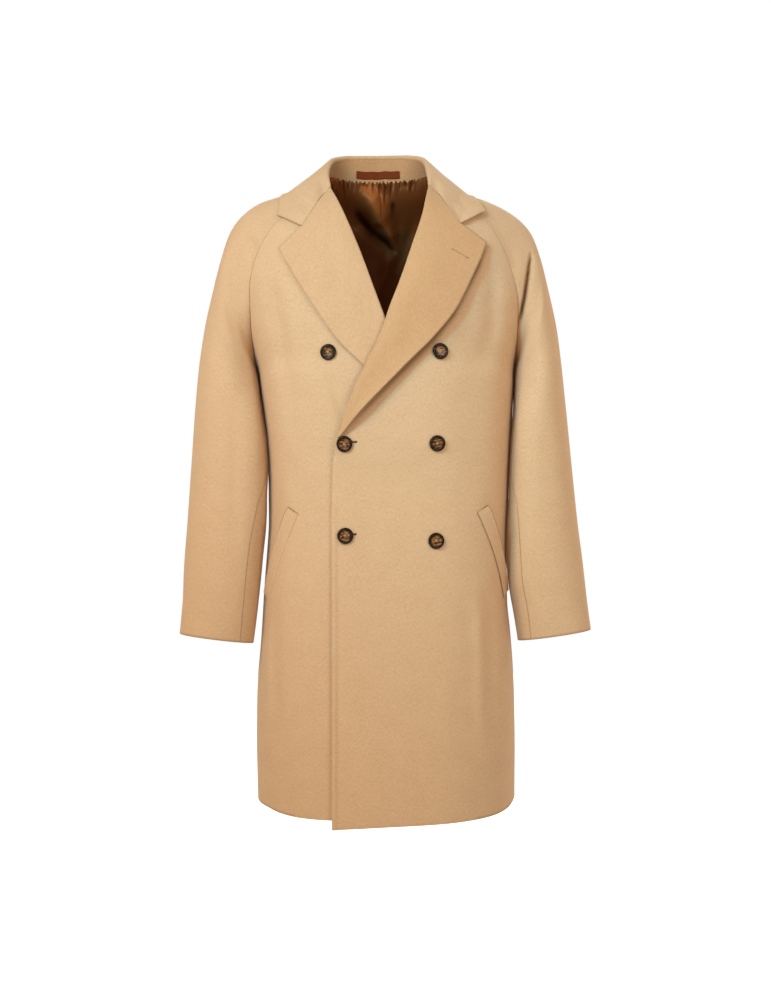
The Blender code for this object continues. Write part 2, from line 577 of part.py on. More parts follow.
def lapel_grid(side):
    front_rows = body_rows("front_z")
    end_z = BREAK_Z + LAPEL_END
    roll_z = np.concatenate([[GORGE_Z], front_rows[front_rows > end_z][::-1], [end_z]])
    down = (GORGE_Z - roll_z) / (GORGE_Z - BREAK_Z)
    roll = stack(through(ROLL[side], "x", roll_z), roll_z)
    station = down * LAPEL_EDGE[side]["station"][-1]
    edge = stack(through(LAPEL_EDGE[side], "x", station), through(LAPEL_EDGE[side], "z", station))
    across = ACROSS[None, :, None]
    flat = roll[:, None] * (1 - across) + edge[:, None] * across
    top = bent_line(roll[0], NOTCH[side], edge[0], ACROSS, ACROSS[CORNER])
    flat += ((1 - down) ** 2)[:, None, None] * (top - flat[0])
    on_front, face_out = front_at(side, flat[..., 0], flat[..., 1])
    flatter = 1 - LAPEL_FLATTENING * smoothstep(LAPEL_FLATTENS_FROM, 1, down)
    radius = LAPEL_ROLL[side] * flatter
    edge_lift = LAPEL_EDGE_LIFT[side] * flatter
    lift = (2 * radius - WOOL)[:, None] * (1 - ACROSS) + edge_lift[:, None] * ACROSS
    shown = on_front + face_out * lift[..., None]
    bend = turned_edge(on_front[:, 0], on_front[:, -1] - on_front[:, 0], face_out[:, 0], radius)
    return np.concatenate([bend, shown], axis=1)


lapels = {side: lapel_grid(side) for side, hand in HANDS}
lapels_out = {side: normals(grid, -side) for side, grid in lapels.items()}

# Collar: a stand round the neck, and a fall that turns over at the fold and lies on the shoulders
COLLAR_HALF_ROWS = np.array((0, 0.4, 0.8, 1.3, 1.9, 2.5, 3.1, 3.5, 3.9, 4.4, 5))
COLLAR_SETTLED = 1.5
STAND_START = 0.8
STAND_UP = np.array((0, 0.5, 1.0))
OUTWARD_RISE = 0.15


def collar_line(line, side, stations):
    """A line of the collar, which leans a little to the wearer's right above its base."""
    shift = 0 if line == "base" else COLLAR_SHIFT * smoothstep(0, COLLAR_SETTLED, stations)
    x, y, z = (through(COLLAR, line + axis, stations) for axis in ("_x", "_y", "_z"))
    return stack(side * x + shift, y, z)


def collar_edge(side, stations):
    """The collar's outer edge, which sinks lower on the wearer's left shoulder."""
    start, low, low_end, end = COLLAR_SAG_STATIONS
    sag = smoothstep(start, low, stations) * (1 - smoothstep(low_end, end, stations))
    return collar_line("edge", side, stations) - stack(0.0, 0.0, COLLAR_SAG[side] * sag)


def round_the_neck(half):
    """The rows of one half, front end first, then those of the other half back to its front end."""
    return np.concatenate([half(LEFT), half(RIGHT)[-2::-1]])


def collar_end(side, lift):
    """The collar's front end: down the gorge seam to the notch, then out to the tip, lying on the coat."""
    flat = bent_line((through(ROLL[side], "x", GORGE_Z), GORGE_Z), NOTCH[side], COLLAR_TIP[side],
                     ACROSS, ACROSS[CORNER])
    on_front, face_out = front_at(side, flat[:, 0], flat[:, 1])
    for row in np.flatnonzero(ACROSS > ACROSS[CORNER]):
        place, normal, _, _ = ground.ray_cast(Vector((flat[row, 0], -1, flat[row, 1])), Vector((0, 1, 0)))
        on_front[row], face_out[row] = place, normal * math.copysign(1, -normal.y)
    return on_front + face_out * lift[:, None]


def clear_of(points, clearance):
    """The points moved out where they lie closer than the clearance to the coat under them."""
    moved = []
    for point in points.reshape(-1, 3):
        place, face_out, _, _ = ground.find_nearest(Vector(point))
        if face_out.dot(Vector((place.x, place.y, OUTWARD_RISE))) < 0:
            face_out = -face_out
        short = clearance - (Vector(point) - place).dot(face_out)
        moved.append(Vector(point) + face_out * max(short, 0))
    return np.array(moved).reshape(points.shape)


def collar_half(side):
    stations = COLLAR_HALF_ROWS
    fold, edge = collar_line("fold", side, stations), collar_edge(side, stations)
    up = edge - fold
    tangent = unit(np.gradient(fold, axis=0))
    face_out = np.cross(tangent, up)
    face_out = unit(np.where(face_out[:, 2:] < 0, -face_out, face_out))
    settled = smoothstep(0, COLLAR_SETTLED, stations)
    radius = LAPEL_ROLL[side] + (COLLAR_ROLL - LAPEL_ROLL[side]) * settled
    bend = turned_edge(fold, up, face_out, radius)
    top = fold + face_out * (2 * radius - WOOL)[:, None]
    crown = face_out * COLLAR_CROWN * np.linalg.norm(up, axis=-1, keepdims=True)
    fall = hermite(top[:, None], edge[:, None], (up + crown)[:, None], (up - crown)[:, None],
                   np.broadcast_to(ACROSS, (len(stations), len(ACROSS))))
    lift = (2 * radius[0] - WOOL) * (1 - ACROSS) + LAPEL_EDGE_LIFT[side] * ACROSS
    fall += (1 - settled)[:, None, None] * (collar_end(side, lift) - fall[0])
    fall[1:, CORNER:] = clear_of(fall[1:, CORNER:], COLLAR_CLEARANCE)
    grid = np.concatenate([bend, fall], axis=1)
    grid[:, GORGE] += (1 - settled)[:, None, None] * (lapels[side][0, GORGE] - grid[0, GORGE])
    return grid


fall = round_the_neck(collar_half)
fall_out = normals(fall, 1)
for (side, hand), end_row in zip(HANDS, (0, -1)):
    shared = unit(lapels_out[side][0, GORGE] + fall_out[end_row, GORGE])
    lapels_out[side][0, GORGE], fall_out[end_row, GORGE] = shared, shared
    lapel = trimmed(lapels[side], first_row=SEAM_GAP, first_column=ROLL_GAP)
    wall("lapel_" + hand, lapel, lapels_out[side], WOOL, wool)
wall("collar_fall", trimmed(fall, first_row=HALF, last_row=HALF, first_column=HALF), fall_out, WOOL, wool)


def stand_half(side):
    """From the neck seam up to where the fold starts; the shown face is the one towards the neck."""
    stations = COLLAR_HALF_ROWS[COLLAR_HALF_ROWS >= STAND_START]
    base = collar_line("base", side, stations)
    top = collar_half(side)[COLLAR_HALF_ROWS >= STAND_START, 0]
    return base[:, None] + (top - base)[:, None] * STAND_UP[None, :, None]


stand = round_the_neck(stand_half)
wall("collar_stand", trimmed(stand, last_column=HALF), normals(stand, 1), WOOL, wool)

# Label: a plain strip of tape sewn across the back of the stand
NECK_BACK = np.abs(stand[:, 0, 0]) < LABEL_WIDTH / 2
label_x = np.concatenate([[-LABEL_WIDTH / 2], np.sort(stand[NECK_BACK, 0, 0]), [LABEL_WIDTH / 2]])
label_edges = []
for edge_z in (LABEL_Z - LABEL_HEIGHT / 2, LABEL_Z + LABEL_HEIGHT / 2):
    base, top = stand[::-1, 0], stand[::-1, -1]
    line = base + (top - base) * ((edge_z - base[:, 2:]) / (top[:, 2:] - base[:, 2:]))
    label_edges.append(stack(label_x, np.interp(label_x, line[:, 0], line[:, 1]) - LABEL_GAP - TAPE, edge_z))
label = np.stack(label_edges)
wall("label", label, np.broadcast_to((0.0, -1.0, 0.0), label.shape), TAPE, tape)

# Back lining: gathered into the neck seam and hanging free inside the back, with a few large folds
LINING_Z = np.array((0.031, 0.023, 0.012, -0.006, -0.034, -0.064, -0.105, -0.170, -0.300, -0.420, -0.540,
                     -0.720, -0.930))
LINING_LOOSE_Z = -0.034
NECK_STATIONS = (5, 2)


def lining_folds(x, z):
    """How far the lining stands forward at a place, from all its folds together."""
    height = np.zeros_like(x)
    for start_x, start_z, end_x, end_z, width, rise in zip(*list(LINING_FOLDS.values())[1:]):
        run_x, run_z = end_x - start_x, end_z - start_z
        along = np.clip(((x - start_x) * run_x + (z - start_z) * run_z) / (run_x**2 + run_z**2), 0, 1)
        away = np.hypot(x - start_x - along * run_x, z - start_z - along * run_z)
        height += rise * np.exp(-(away / width) ** 2)
    return height


def lining_grid():
    place = np.linspace(-1, 1, 2 * LINING_GATHERS + 1)
    station = NECK_STATIONS[0] + (NECK_STATIONS[1] - NECK_STATIONS[0]) * np.abs(place)
    neck = collar_line("base", np.sign(place), station)
    inward = unit(stack(-neck[:, 0], NECK_CENTRE_Y - neck[:, 1], 0.0))
    neck = neck + inward * LINING_NECK_GAP + np.array((0, 0, LINING_RISE))
    hanging = back_point(place[None, :], LINING_Z[:, None])
    hanging = hanging - normals(hanging, 1) * LINING_DEPTH
    sewn = smoothstep(LINING_LOOSE_Z, LINING_Z[0], LINING_Z)[:, None, None]
    neck = neck + stack(0.0, 0.0, LINING_Z - LINING_Z[0])[:, None]
    grid = hanging * (1 - sewn) + neck * sewn
    face_out = -normals(grid, 1)
    column = np.arange(len(place))
    gather = GATHER_DEPTH * (-1.0) ** column * (1 + GATHER_UNEVENNESS * np.sin(column))
    fade = smoothstep(LINING_Z[0] - GATHER_LENGTH, LINING_Z[0], LINING_Z)[:, None]
    rise = gather * fade + lining_folds(grid[..., 0], grid[..., 2]) * (1 - fade)
    return grid + face_out * rise[..., None], face_out


wall("lining_back", *lining_grid(), SATIN, satin)

# Welts: a strip of wool on each front, slanting down and out over the pocket mouth
WELT_ROWS, WELT_COLUMNS = 13, 6


def welt_grid(side):
    welt = WELT[side]
    down = np.array((welt["slant"], -1)) / math.hypot(welt["slant"], 1)
    across = np.array((1, welt["rise"])) / math.hypot(1, welt["rise"])
    length, width = np.linspace(0, WELT_LENGTH, WELT_ROWS), np.linspace(0, WELT_WIDTH, WELT_COLUMNS)
    flat = length[:, None, None] * down + width[None, :, None] * across
    points = []
    for distance, fall in flat.reshape(-1, 2):
        z = welt["z"] + fall
        points.append(front_point(side, front_round(side, welt["x"], distance, z), np.array(z)))
    return np.array(points).reshape(*flat.shape[:2], 3)


for side, hand in HANDS:
    on_front = welt_grid(side)
    face_out = normals(on_front, -side)
    wall("welt_" + hand, on_front + face_out * (WELT_GAP + WOOL), face_out, WOOL, wool)

# Buttons: turned horn discs with a raised rim and four holes, sewn on to the fronts
BUTTON_SIDES, HOLE_SIDES, RIM_TESTS = 16, 8, 12
FLAT = math.radians(1)


def turned_disc(name):
    body = bmesh.new()
    profile = zip(BUTTON["radius"] * BUTTON_RADIUS, BUTTON["height"] * BUTTON_HEIGHT)
    rail = [body.verts.new((radius, 0, height)) for radius, height in profile]
    edges = [body.edges.new(pair) for pair in zip(rail, rail[1:])]
    bmesh.ops.spin(body, geom=rail + edges, cent=(0, 0, 0), axis=(0, 0, 1), angle=2 * math.pi,
                   steps=BUTTON_SIDES, use_merge=True)
    bmesh.ops.remove_doubles(body, verts=body.verts, dist=SEAM_GAP / 10)
    bmesh.ops.dissolve_limit(body, angle_limit=FLAT, verts=body.verts, edges=body.edges)
    return finished(name, body, horn)


def four_holes(name):
    body = bmesh.new()
    for across in (-1, 1):
        for up in (-1, 1):
            place = Matrix.Translation((across * BUTTON_HOLE_SPREAD, up * BUTTON_HOLE_SPREAD, 0))
            bmesh.ops.create_cone(body, cap_ends=True, segments=HOLE_SIDES, radius1=BUTTON_HOLE_RADIUS,
                                  radius2=BUTTON_HOLE_RADIUS, depth=3 * BUTTON_HEIGHT, matrix=place)
    holes = finished(name, body, horn)
    holes.hide_render = True
    holes.display_type = "WIRE"
    return holes


def seat(side, x, z):
    """Where a button lies: turned as the cloth is, and just clear of it under the whole rim."""
    point, face_out = front_at(side, np.array(x), np.array(z))
    point, face_out = Vector(point), Vector(face_out)
    reach = []
    for angle in np.linspace(0, 2 * math.pi, RIM_TESTS, endpoint=False):
        start = Vector((x + BUTTON_RADIUS * math.cos(angle), -1, z + BUTTON_RADIUS * math.sin(angle)))
        reach.append((ground.ray_cast(start, Vector((0, 1, 0)))[0] - point).dot(face_out))
    place = point + face_out * (max(*reach, 0) + SEAM_GAP)
    return Matrix.Translation(place) @ face_out.to_track_quat("Z", "Y").to_matrix().to_4x4()


for name, side, x, z in BUTTONS:
    button, holes = turned_disc(name), four_holes(name + "_holes")
    button.matrix_world = seat(side, x, z)
    holes.matrix_world = button.matrix_world
    cut = button.modifiers.new("holes", "BOOLEAN")
    cut.operation = "DIFFERENCE"
    cut.solver = "EXACT"
    cut.object = holes
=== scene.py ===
"""Double-breasted raglan overcoat in camel wool, hanging filled out as it is when worn.

Metres, +Z up. The front faces -Y and +X is the wearer's left.
"""
import math

import bmesh
import bpy
import numpy as np
from mathutils import Matrix, Vector
from mathutils.bvhtree import BVHTree


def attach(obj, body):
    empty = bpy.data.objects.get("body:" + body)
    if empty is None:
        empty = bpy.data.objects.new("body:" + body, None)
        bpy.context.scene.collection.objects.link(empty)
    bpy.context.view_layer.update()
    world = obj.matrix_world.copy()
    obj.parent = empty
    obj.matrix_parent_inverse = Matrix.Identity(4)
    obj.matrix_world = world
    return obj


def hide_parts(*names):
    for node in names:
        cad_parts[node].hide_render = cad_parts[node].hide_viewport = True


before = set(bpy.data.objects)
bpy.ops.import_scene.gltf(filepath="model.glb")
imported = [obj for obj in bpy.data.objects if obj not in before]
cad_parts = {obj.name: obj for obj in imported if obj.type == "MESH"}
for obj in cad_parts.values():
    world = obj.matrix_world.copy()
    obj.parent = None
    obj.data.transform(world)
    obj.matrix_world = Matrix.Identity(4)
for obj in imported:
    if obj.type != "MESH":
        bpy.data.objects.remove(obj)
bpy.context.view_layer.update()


# Fronts: two panels of heavy brushed camel wool, each cut from the front edge or roll line to the side and
# raglan seams. The wearer's left one laps over the other and is buttoned down on it. Edges and hems are
# turned in and pressed, and the cloth hangs in a few soft folds.
LEFT, RIGHT = 1, -1
HANDS = ((LEFT, "left"), (RIGHT, "right"))
WOOL = 0.0022
HEM_Z, BREAK_Z, FRONT_TOP_Z = -0.963, -0.394, -0.006
HEM_DROP_HEIGHT = 0.30
SWAY, SWAY_Z, SWAY_REACH = 0.009, -0.47, 0.17
OVERLAP_LIFT, OVERLAP_FADE_X, OVERLAP_FADE_Z = 0.0042, (0.09, 0.155), (-0.12, -0.04)
CROSSING_LIFT, CROSSING_FADE_X, CROSSING_Z = 0.0050, (0.06, 0.14), (-0.47, -0.39, -0.19, -0.09)
PANEL_ROWS, FRONT_COLUMNS = 216, 110
EDGE_IN, SEAM_IN = 0.0045, 0.0009
CLUSTER = 0.8
# Rims are rounded in the given steps. Pressing darkens seams and turned edges, and painted shade darkens
# edges, creases and shadowed places: a shown face's edge gets the ring share of it, and the wool goes at
# most the next share towards the dark tone.
RIM_STEPS, PRESSED_AND_SHADE_RING = 5, 0.6
PRESSED_AND_SHADE_SHARE, PRESSED_AND_SHADE_TONE = 0.6, (0.20, 0.100, 0.042)
FOLDS_END = (0.86, 0.99)


def table(columns, rows):
    """A short table as a dictionary of columns; its first column is the station."""
    return dict(zip(columns.split(), np.array(rows, dtype=float).T))


FRONT = table("z depth edge_x edge_y turn start_pull end_pull", [
    (-0.963, 0.156, 0.206, 0.022, 90, 0.435, 0.345),
    (-0.8, 0.154, 0.208, 0.022, 90, 0.445, 0.36),
    (-0.62, 0.152, 0.1985, 0.022, 90, 0.455, 0.385),
    (-0.45, 0.15, 0.193, 0.022, 90, 0.455, 0.395),
    (-0.3, 0.15, 0.199, 0.022, 90, 0.465, 0.405),
    (-0.255, 0.148, 0.2035, -0.032, 82, 0.372, 0.24),
    (-0.205, 0.143, 0.2065, -0.06, 66, 0.34, 0.205),
    (-0.16, 0.136, 0.2065, -0.073, 54, 0.305, 0.185),
    (-0.125, 0.127, 0.2015, -0.077, 46, 0.265, 0.175),
    (-0.09, 0.116, 0.188, -0.076, 40, 0.235, 0.16),
    (-0.058, 0.104, 0.169, -0.071, 37, 0.2, 0.14),
    (-0.03, 0.093, 0.132, -0.062, 35, 0.15, 0.11),
    (-0.006, 0.081, 0.086, -0.047, 35, 0.095, 0.075),
    (0.02, 0.066, 0.07, -0.034, 35, 0.075, 0.06)])
WIDER = {
    LEFT: table("z out", [
        (-0.963, 0), (-0.9, 0), (-0.8, -0.0015), (-0.7, -0.0035), (-0.65, -0.006), (-0.57, -0.006),
        (-0.46, 0), (-0.37, 0.006), (-0.3, 0.0085), (-0.25, 0.007), (-0.18, 0.007), (-0.15, 0.003),
        (-0.12, 0), (0.025, 0)]),
    RIGHT: table("z out", [
        (-0.963, 0), (-0.9, 0), (-0.8, -0.002), (-0.71, -0.0045), (-0.62, -0.0026), (-0.54, -0.0026),
        (-0.48, -0.0005), (-0.44, 0), (0.025, 0)])}
HEM_DROP = {
    LEFT: table("x drop", [
        (-0.1, 0.0288), (0, 0.0232), (0.12, 0.0192), (0.165, 0.0158), (0.19, 0.01), (0.206, 0)]),
    RIGHT: table("x drop", [
        (-0.206, 0), (-0.185, 0.0035), (-0.165, 0.0085), (-0.13, 0.0125), (-0.09, 0.0138),
        (0.08, 0.0138)])}
FRONT_EDGE = {
    LEFT: table("z x", [
        (-0.97, -0.085), (-0.7, -0.082), (-0.5, -0.08), (-0.43, -0.077), (BREAK_Z, -0.0685)]),
    RIGHT: table("z x", [
        (-0.97, 0.074), (-0.7, 0.074), (-0.5, 0.074), (-0.43, 0.075), (BREAK_Z, 0.073)])}
GORGE_Z = 0.004
ROLL = {
    LEFT: table("z x", [
        (BREAK_Z, -0.0685), (-0.337, -0.0472), (-0.28, -0.02), (-0.231, 0.004), (-0.196, 0.0157),
        (-0.153, 0.0327), (-0.097, 0.0519), (-0.046, 0.0686), (GORGE_Z, 0.079)]),
    RIGHT: table("z x", [
        (BREAK_Z, 0.073), (-0.3, 0.036), (-0.2, -0.0008), (-0.167, -0.0127), (-0.103, -0.0353),
        (-0.045, -0.0585), (GORGE_Z, -0.0805)])}

# Each soft fold of a panel is a line in a front view: x, z, how wide it is there and how far it stands
# out, or lies in where that is less than 0
FRONT_FOLDS = {
    LEFT: [
        [(0.166, -0.105, 0.01, 0), (0.172, -0.15, 0.013, -0.0065), (0.171, -0.228, 0.015, -0.007),
         (0.146, -0.305, 0.018, 0)],
        [(0.139, -0.61, 0.012, 0), (0.147, -0.68, 0.01, 0.005), (0.149, -0.8, 0.011, 0.004),
         (0.152, -0.93, 0.014, 0)],
        [(0.16, -0.62, 0.009, 0), (0.164, -0.7, 0.01, -0.0045), (0.166, -0.86, 0.012, 0)],
        [(-0.073, -0.43, 0.004, 0), (-0.0755, -0.56, 0.004, 0.0022), (-0.077, -0.75, 0.004, 0.0032),
         (-0.08, -0.963, 0.004, 0.0032)]],
    RIGHT: [
        [(-0.172, -0.105, 0.01, 0), (-0.166, -0.17, 0.011, -0.0065), (-0.155, -0.24, 0.012, -0.0075),
         (-0.141, -0.33, 0.013, -0.005), (-0.132, -0.4, 0.014, 0)],
        [(-0.084, -0.285, 0.007, 0), (-0.071, -0.33, 0.006, -0.0038), (-0.064, -0.352, 0.005, -0.0045),
         (-0.06, -0.372, 0.005, 0)],
        [(-0.178, -0.64, 0.007, 0), (-0.182, -0.7, 0.007, 0.0055), (-0.183, -0.79, 0.008, 0.0045),
         (-0.182, -0.9, 0.009, 0)],
        [(-0.168, -0.64, 0.007, 0), (-0.171, -0.71, 0.007, -0.0045), (-0.17, -0.8, 0.009, -0.003),
         (-0.166, -0.9, 0.009, 0)]]}


def through(tab, column, at):
    """A column read at any station, on a smooth curve through the rows that never overshoots them."""
    key, value = next(iter(tab.values())), tab[column]
    order = np.argsort(key)
    key, value = key[order], value[order]
    step = np.diff(key)
    slope = np.diff(value) / step
    both = slope[:-1] * slope[1:]
    inner = np.where(both > 0, 2 * both / np.where(both > 0, slope[:-1] + slope[1:], 1), 0)
    tangent = np.concatenate([slope[:1], inner, slope[-1:]])
    at = np.asarray(at, dtype=float)
    cell = np.clip(np.searchsorted(key, at) - 1, 0, len(step) - 1)
    s = np.clip((at - key[cell]) / step[cell], 0, 1)
    past = at - np.clip(at, key[0], key[-1])
    curve = ((2 * s**3 - 3 * s**2 + 1) * value[cell] + (s**3 - 2 * s**2 + s) * step[cell] * tangent[cell]
             + (3 * s**2 - 2 * s**3) * value[cell + 1] + (s**3 - s**2) * step[cell] * tangent[cell + 1])
    return curve + past * np.where(past > 0, tangent[-1], tangent[0])


def smoothstep(low, high, at):
    s = np.clip((at - low) / (high - low), 0, 1)
    return s * s * (3 - 2 * s)


def plateau(start, full, full_end, end, at):
    """1 from full to full_end, easing off to 0 at start and end."""
    return smoothstep(start, full, at) * (1 - smoothstep(full_end, end, at))


def hermite(start, end, leave, arrive, s):
    """A curve from start to end that leaves and arrives with the given pulls."""
    s = np.asarray(s)[..., None]
    return ((2 * s**3 - 3 * s**2 + 1) * start + (s**3 - 2 * s**2 + s) * leave
            + (3 * s**2 - 2 * s**3) * end + (s**3 - s**2) * arrive)


def stack(*columns):
    return np.stack(np.broadcast_arrays(*columns), axis=-1)


def unit(vectors):
    return vectors / np.linalg.norm(vectors, axis=-1, keepdims=True)


def sway(z):
    """The body hangs a little to the wearer's left at the waist."""
    return SWAY * np.exp(-((z - SWAY_Z) / SWAY_REACH) ** 2)


def seam_at(tab, side, z):
    """Local x and y of a panel's outer seam, at the side and then up the raglan."""
    return through(tab, "edge_x", z) + through(WIDER[side], "out", z), through(tab, "edge_y", z)


def half_section(tab, facing, s, z, side):
    """Local x and y of a half section, s from 0 at the centre to 1 at the seam; the front faces -1."""
    turn = np.radians(through(tab, "turn", z))
    pull = through(tab, "end_pull", z)
    nothing = np.zeros_like(turn)
    curve = hermite(stack(nothing, facing * through(tab, "depth", z)), stack(*seam_at(tab, side, z)),
                    stack(through(tab, "start_pull", z), nothing),
                    stack(pull * np.cos(turn), -facing * pull * np.sin(turn)), np.abs(s))
    return np.sign(s) * curve[..., 0], curve[..., 1]


def over_lift(x, z):
    """How far the over front stands off: over the under front, and more over the under lapel."""
    overlap = (1 - smoothstep(*OVERLAP_FADE_X, x)) * (1 - smoothstep(*OVERLAP_FADE_Z, z))
    crossing = plateau(*CROSSING_Z, z) * (1 - smoothstep(*CROSSING_FADE_X, x))
    return OVERLAP_LIFT * overlap + CROSSING_LIFT * crossing


def folds(lines, x, z):
    """How far the cloth stands out at a place in a front view, from all its soft ridges and troughs."""
    x, z = np.broadcast_arrays(x, z)
    rise = np.zeros(x.shape)
    for line in lines:
        nearest, stands = np.full(x.shape, np.inf), np.zeros(x.shape)
        for start, run in zip(line, np.diff(line, axis=0)):
            from_x, from_z = x - start[0], z - start[1]
            along = np.clip((from_x * run[0] + from_z * run[1]) / (run[0] ** 2 + run[1] ** 2), 0, 1)
            away = np.hypot(from_x - along * run[0], from_z - along * run[1])
            width, height = start[2] + run[2] * along, start[3] + run[3] * along
            stands = np.where(away < nearest, height * np.exp(-(away / width) ** 2), stands)
            nearest = np.minimum(away, nearest)
        rise += stands
    return rise


def folds_on(lines, grid):
    return folds(lines, grid[..., 0], grid[..., 2])


def front_point(side, s, z):
    """A point on a front's outer face; s < 0 crosses the centre to the other side."""
    x, y = half_section(FRONT, -1, s, z, side)
    x = side * x + sway(z)
    if side == LEFT:
        y = y - over_lift(x, z)
    y = y - folds(FRONT_FOLDS[side], x, z) * (1 - smoothstep(*FOLDS_END, np.abs(s)))
    drop = np.maximum(through(HEM_DROP[side], "drop", x), 0)
    return stack(x, y, z - drop * (1 - smoothstep(HEM_Z, HEM_Z + HEM_DROP_HEIGHT, z)))


SECTION = np.linspace(-1, 1, 161)


def front_s(side, x, z):
    """The place s along a front's section where it passes x."""
    x, z = np.broadcast_arrays(np.asarray(x, dtype=float), np.asarray(z, dtype=float))
    height = z.ravel()[:, None]
    lines = half_section(FRONT, -1, SECTION, np.repeat(height, len(SECTION), axis=1), side)[0]
    lines = lines + side * sway(height)
    flat = [np.interp(side * one_x, line, SECTION) for one_x, line in zip(x.ravel(), lines)]
    return np.array(flat).reshape(x.shape)


def normals(grid, sign):
    """The unit normals of a grid of points, on the side that the sign says."""
    across, along = np.gradient(grid, axis=1), np.gradient(grid, axis=0)
    return sign * unit(np.cross(across, along))


def clustered(count, start=0.0, end=1.0):
    """Places from start to end that lie closer together towards both ends."""
    t = np.linspace(0, 1, count)
    return start + (end - start) * (t - CLUSTER * np.sin(2 * math.pi * t) / (2 * math.pi))


def lengths(grid, axis):
    """Distances along the rows or columns of a grid of points."""
    step = np.linalg.norm(np.diff(grid, axis=axis), axis=-1)
    return np.insert(np.cumsum(step, axis=axis), 0, 0, axis=axis)


def border(grid):
    """What stands at the grid's outermost places, in order round it."""
    return np.concatenate([grid[0, :-1], grid[:-1, -1], grid[-1, :0:-1], grid[:0:-1, 0]])


def quads(index):
    """The four-sided faces between neighbours in a grid of point numbers."""
    corners = index[:-1, :-1], index[:-1, 1:], index[1:, 1:], index[1:, :-1]
    return np.stack(corners, axis=-1).reshape(-1, 4)


def placed(name, data):
    """Something new, set up in the scene."""
    piece = bpy.data.objects.new(name, data)
    bpy.context.scene.collection.objects.link(piece)
    return piece


def lay_flat(mesh, name, places):
    """Lays a mesh out flat: each point has a place for its pattern."""
    corner = np.empty(len(mesh.loops), dtype=np.int32)
    mesh.loops.foreach_get("vertex_index", corner)
    mesh.uv_layers.new(name=name).data.foreach_set("uv", np.asarray(places)[corner].ravel())


def linked(name, points, faces, material, places=None, pressed_and_shade=None):
    """A piece with smooth faces; places are its points on the flat cloth, in metres, and the last array says
    how dark each point is made, by pressing along sewn and turned edges and by painted shade."""
    mesh = bpy.data.meshes.new(name)
    mesh.from_pydata(np.asarray(points).tolist(), [], faces)
    if places is not None:
        lay_flat(mesh, "weave", places)
    if pressed_and_shade is not None:
        mesh.attributes.new("pressed_and_shade", "FLOAT", "POINT").data.foreach_set("value", pressed_and_shade)
    mesh.materials.append(material)
    mesh.shade_smooth()
    return placed(name, mesh)


def cloth(name, shown, out, thickness, material, edge_press_and_shade=1.0, deep=0.0):
    """Cloth as a closed shell with soft rounded edges: the grid is its shown face. The last two weights say
    how
    dark each place is made: on its edges by pressing and painted shade, inside by painted shade alone."""
    rows, columns = shown.shape[:2]
    thickness = np.broadcast_to(thickness, (rows, columns))[..., None]
    hidden = shown - out * thickness
    away = np.zeros_like(shown)
    for edge, inside in ((np.s_[0], np.s_[1]), (np.s_[-1], np.s_[-2]), (np.s_[:, 0], np.s_[:, 1]),
                         (np.s_[:, -1], np.s_[:, -2])):
        away[edge] += unit(shown[edge] - shown[inside])
    away = unit(border(away)) * border(thickness) / 2
    middle, half = border(shown + hidden) / 2, border(shown - hidden) / 2
    rims = [middle + half * math.cos(angle) + away * math.sin(angle)
            for angle in np.linspace(0, math.pi, RIM_STEPS)[1:-1]]
    points = np.concatenate([shown.reshape(-1, 3), hidden.reshape(-1, 3), *rims])
    place = np.stack([lengths(shown, 1), lengths(shown, 0)], axis=-1)
    places = np.concatenate([place.reshape(-1, 2)] * 2 + [border(place)] * len(rims))
    count = rows * columns
    index = np.arange(count).reshape(rows, columns)
    ring = border(index)
    rim_rings = 2 * count + np.arange(len(rims) * len(ring)).reshape(len(rims), -1)
    layers = [ring, *rim_rings, ring + count]
    faces = [quads(index), quads(index)[:, ::-1] + count]
    for upper, lower in zip(layers, layers[1:]):
        faces.append(np.stack([upper, lower, np.roll(lower, -1), np.roll(upper, -1)], axis=-1))
    faces = np.concatenate(faces)
    if np.sum(normals(shown, 1) * out) < 0:
        faces = faces[:, ::-1]
    # Edges are darkened by pressing and painted shade, the rest by painted shade alone
    held = border(np.broadcast_to(edge_press_and_shade, (rows, columns)))
    inside = np.broadcast_to(deep, (rows, columns)).flatten()
    inside[ring] = np.maximum(inside[ring], held * PRESSED_AND_SHADE_RING)
    pressed_and_shade = np.concatenate([inside, np.zeros(count), np.tile(held, len(rims))])
    return linked(name, points, faces.tolist(), material, places, pressed_and_shade)


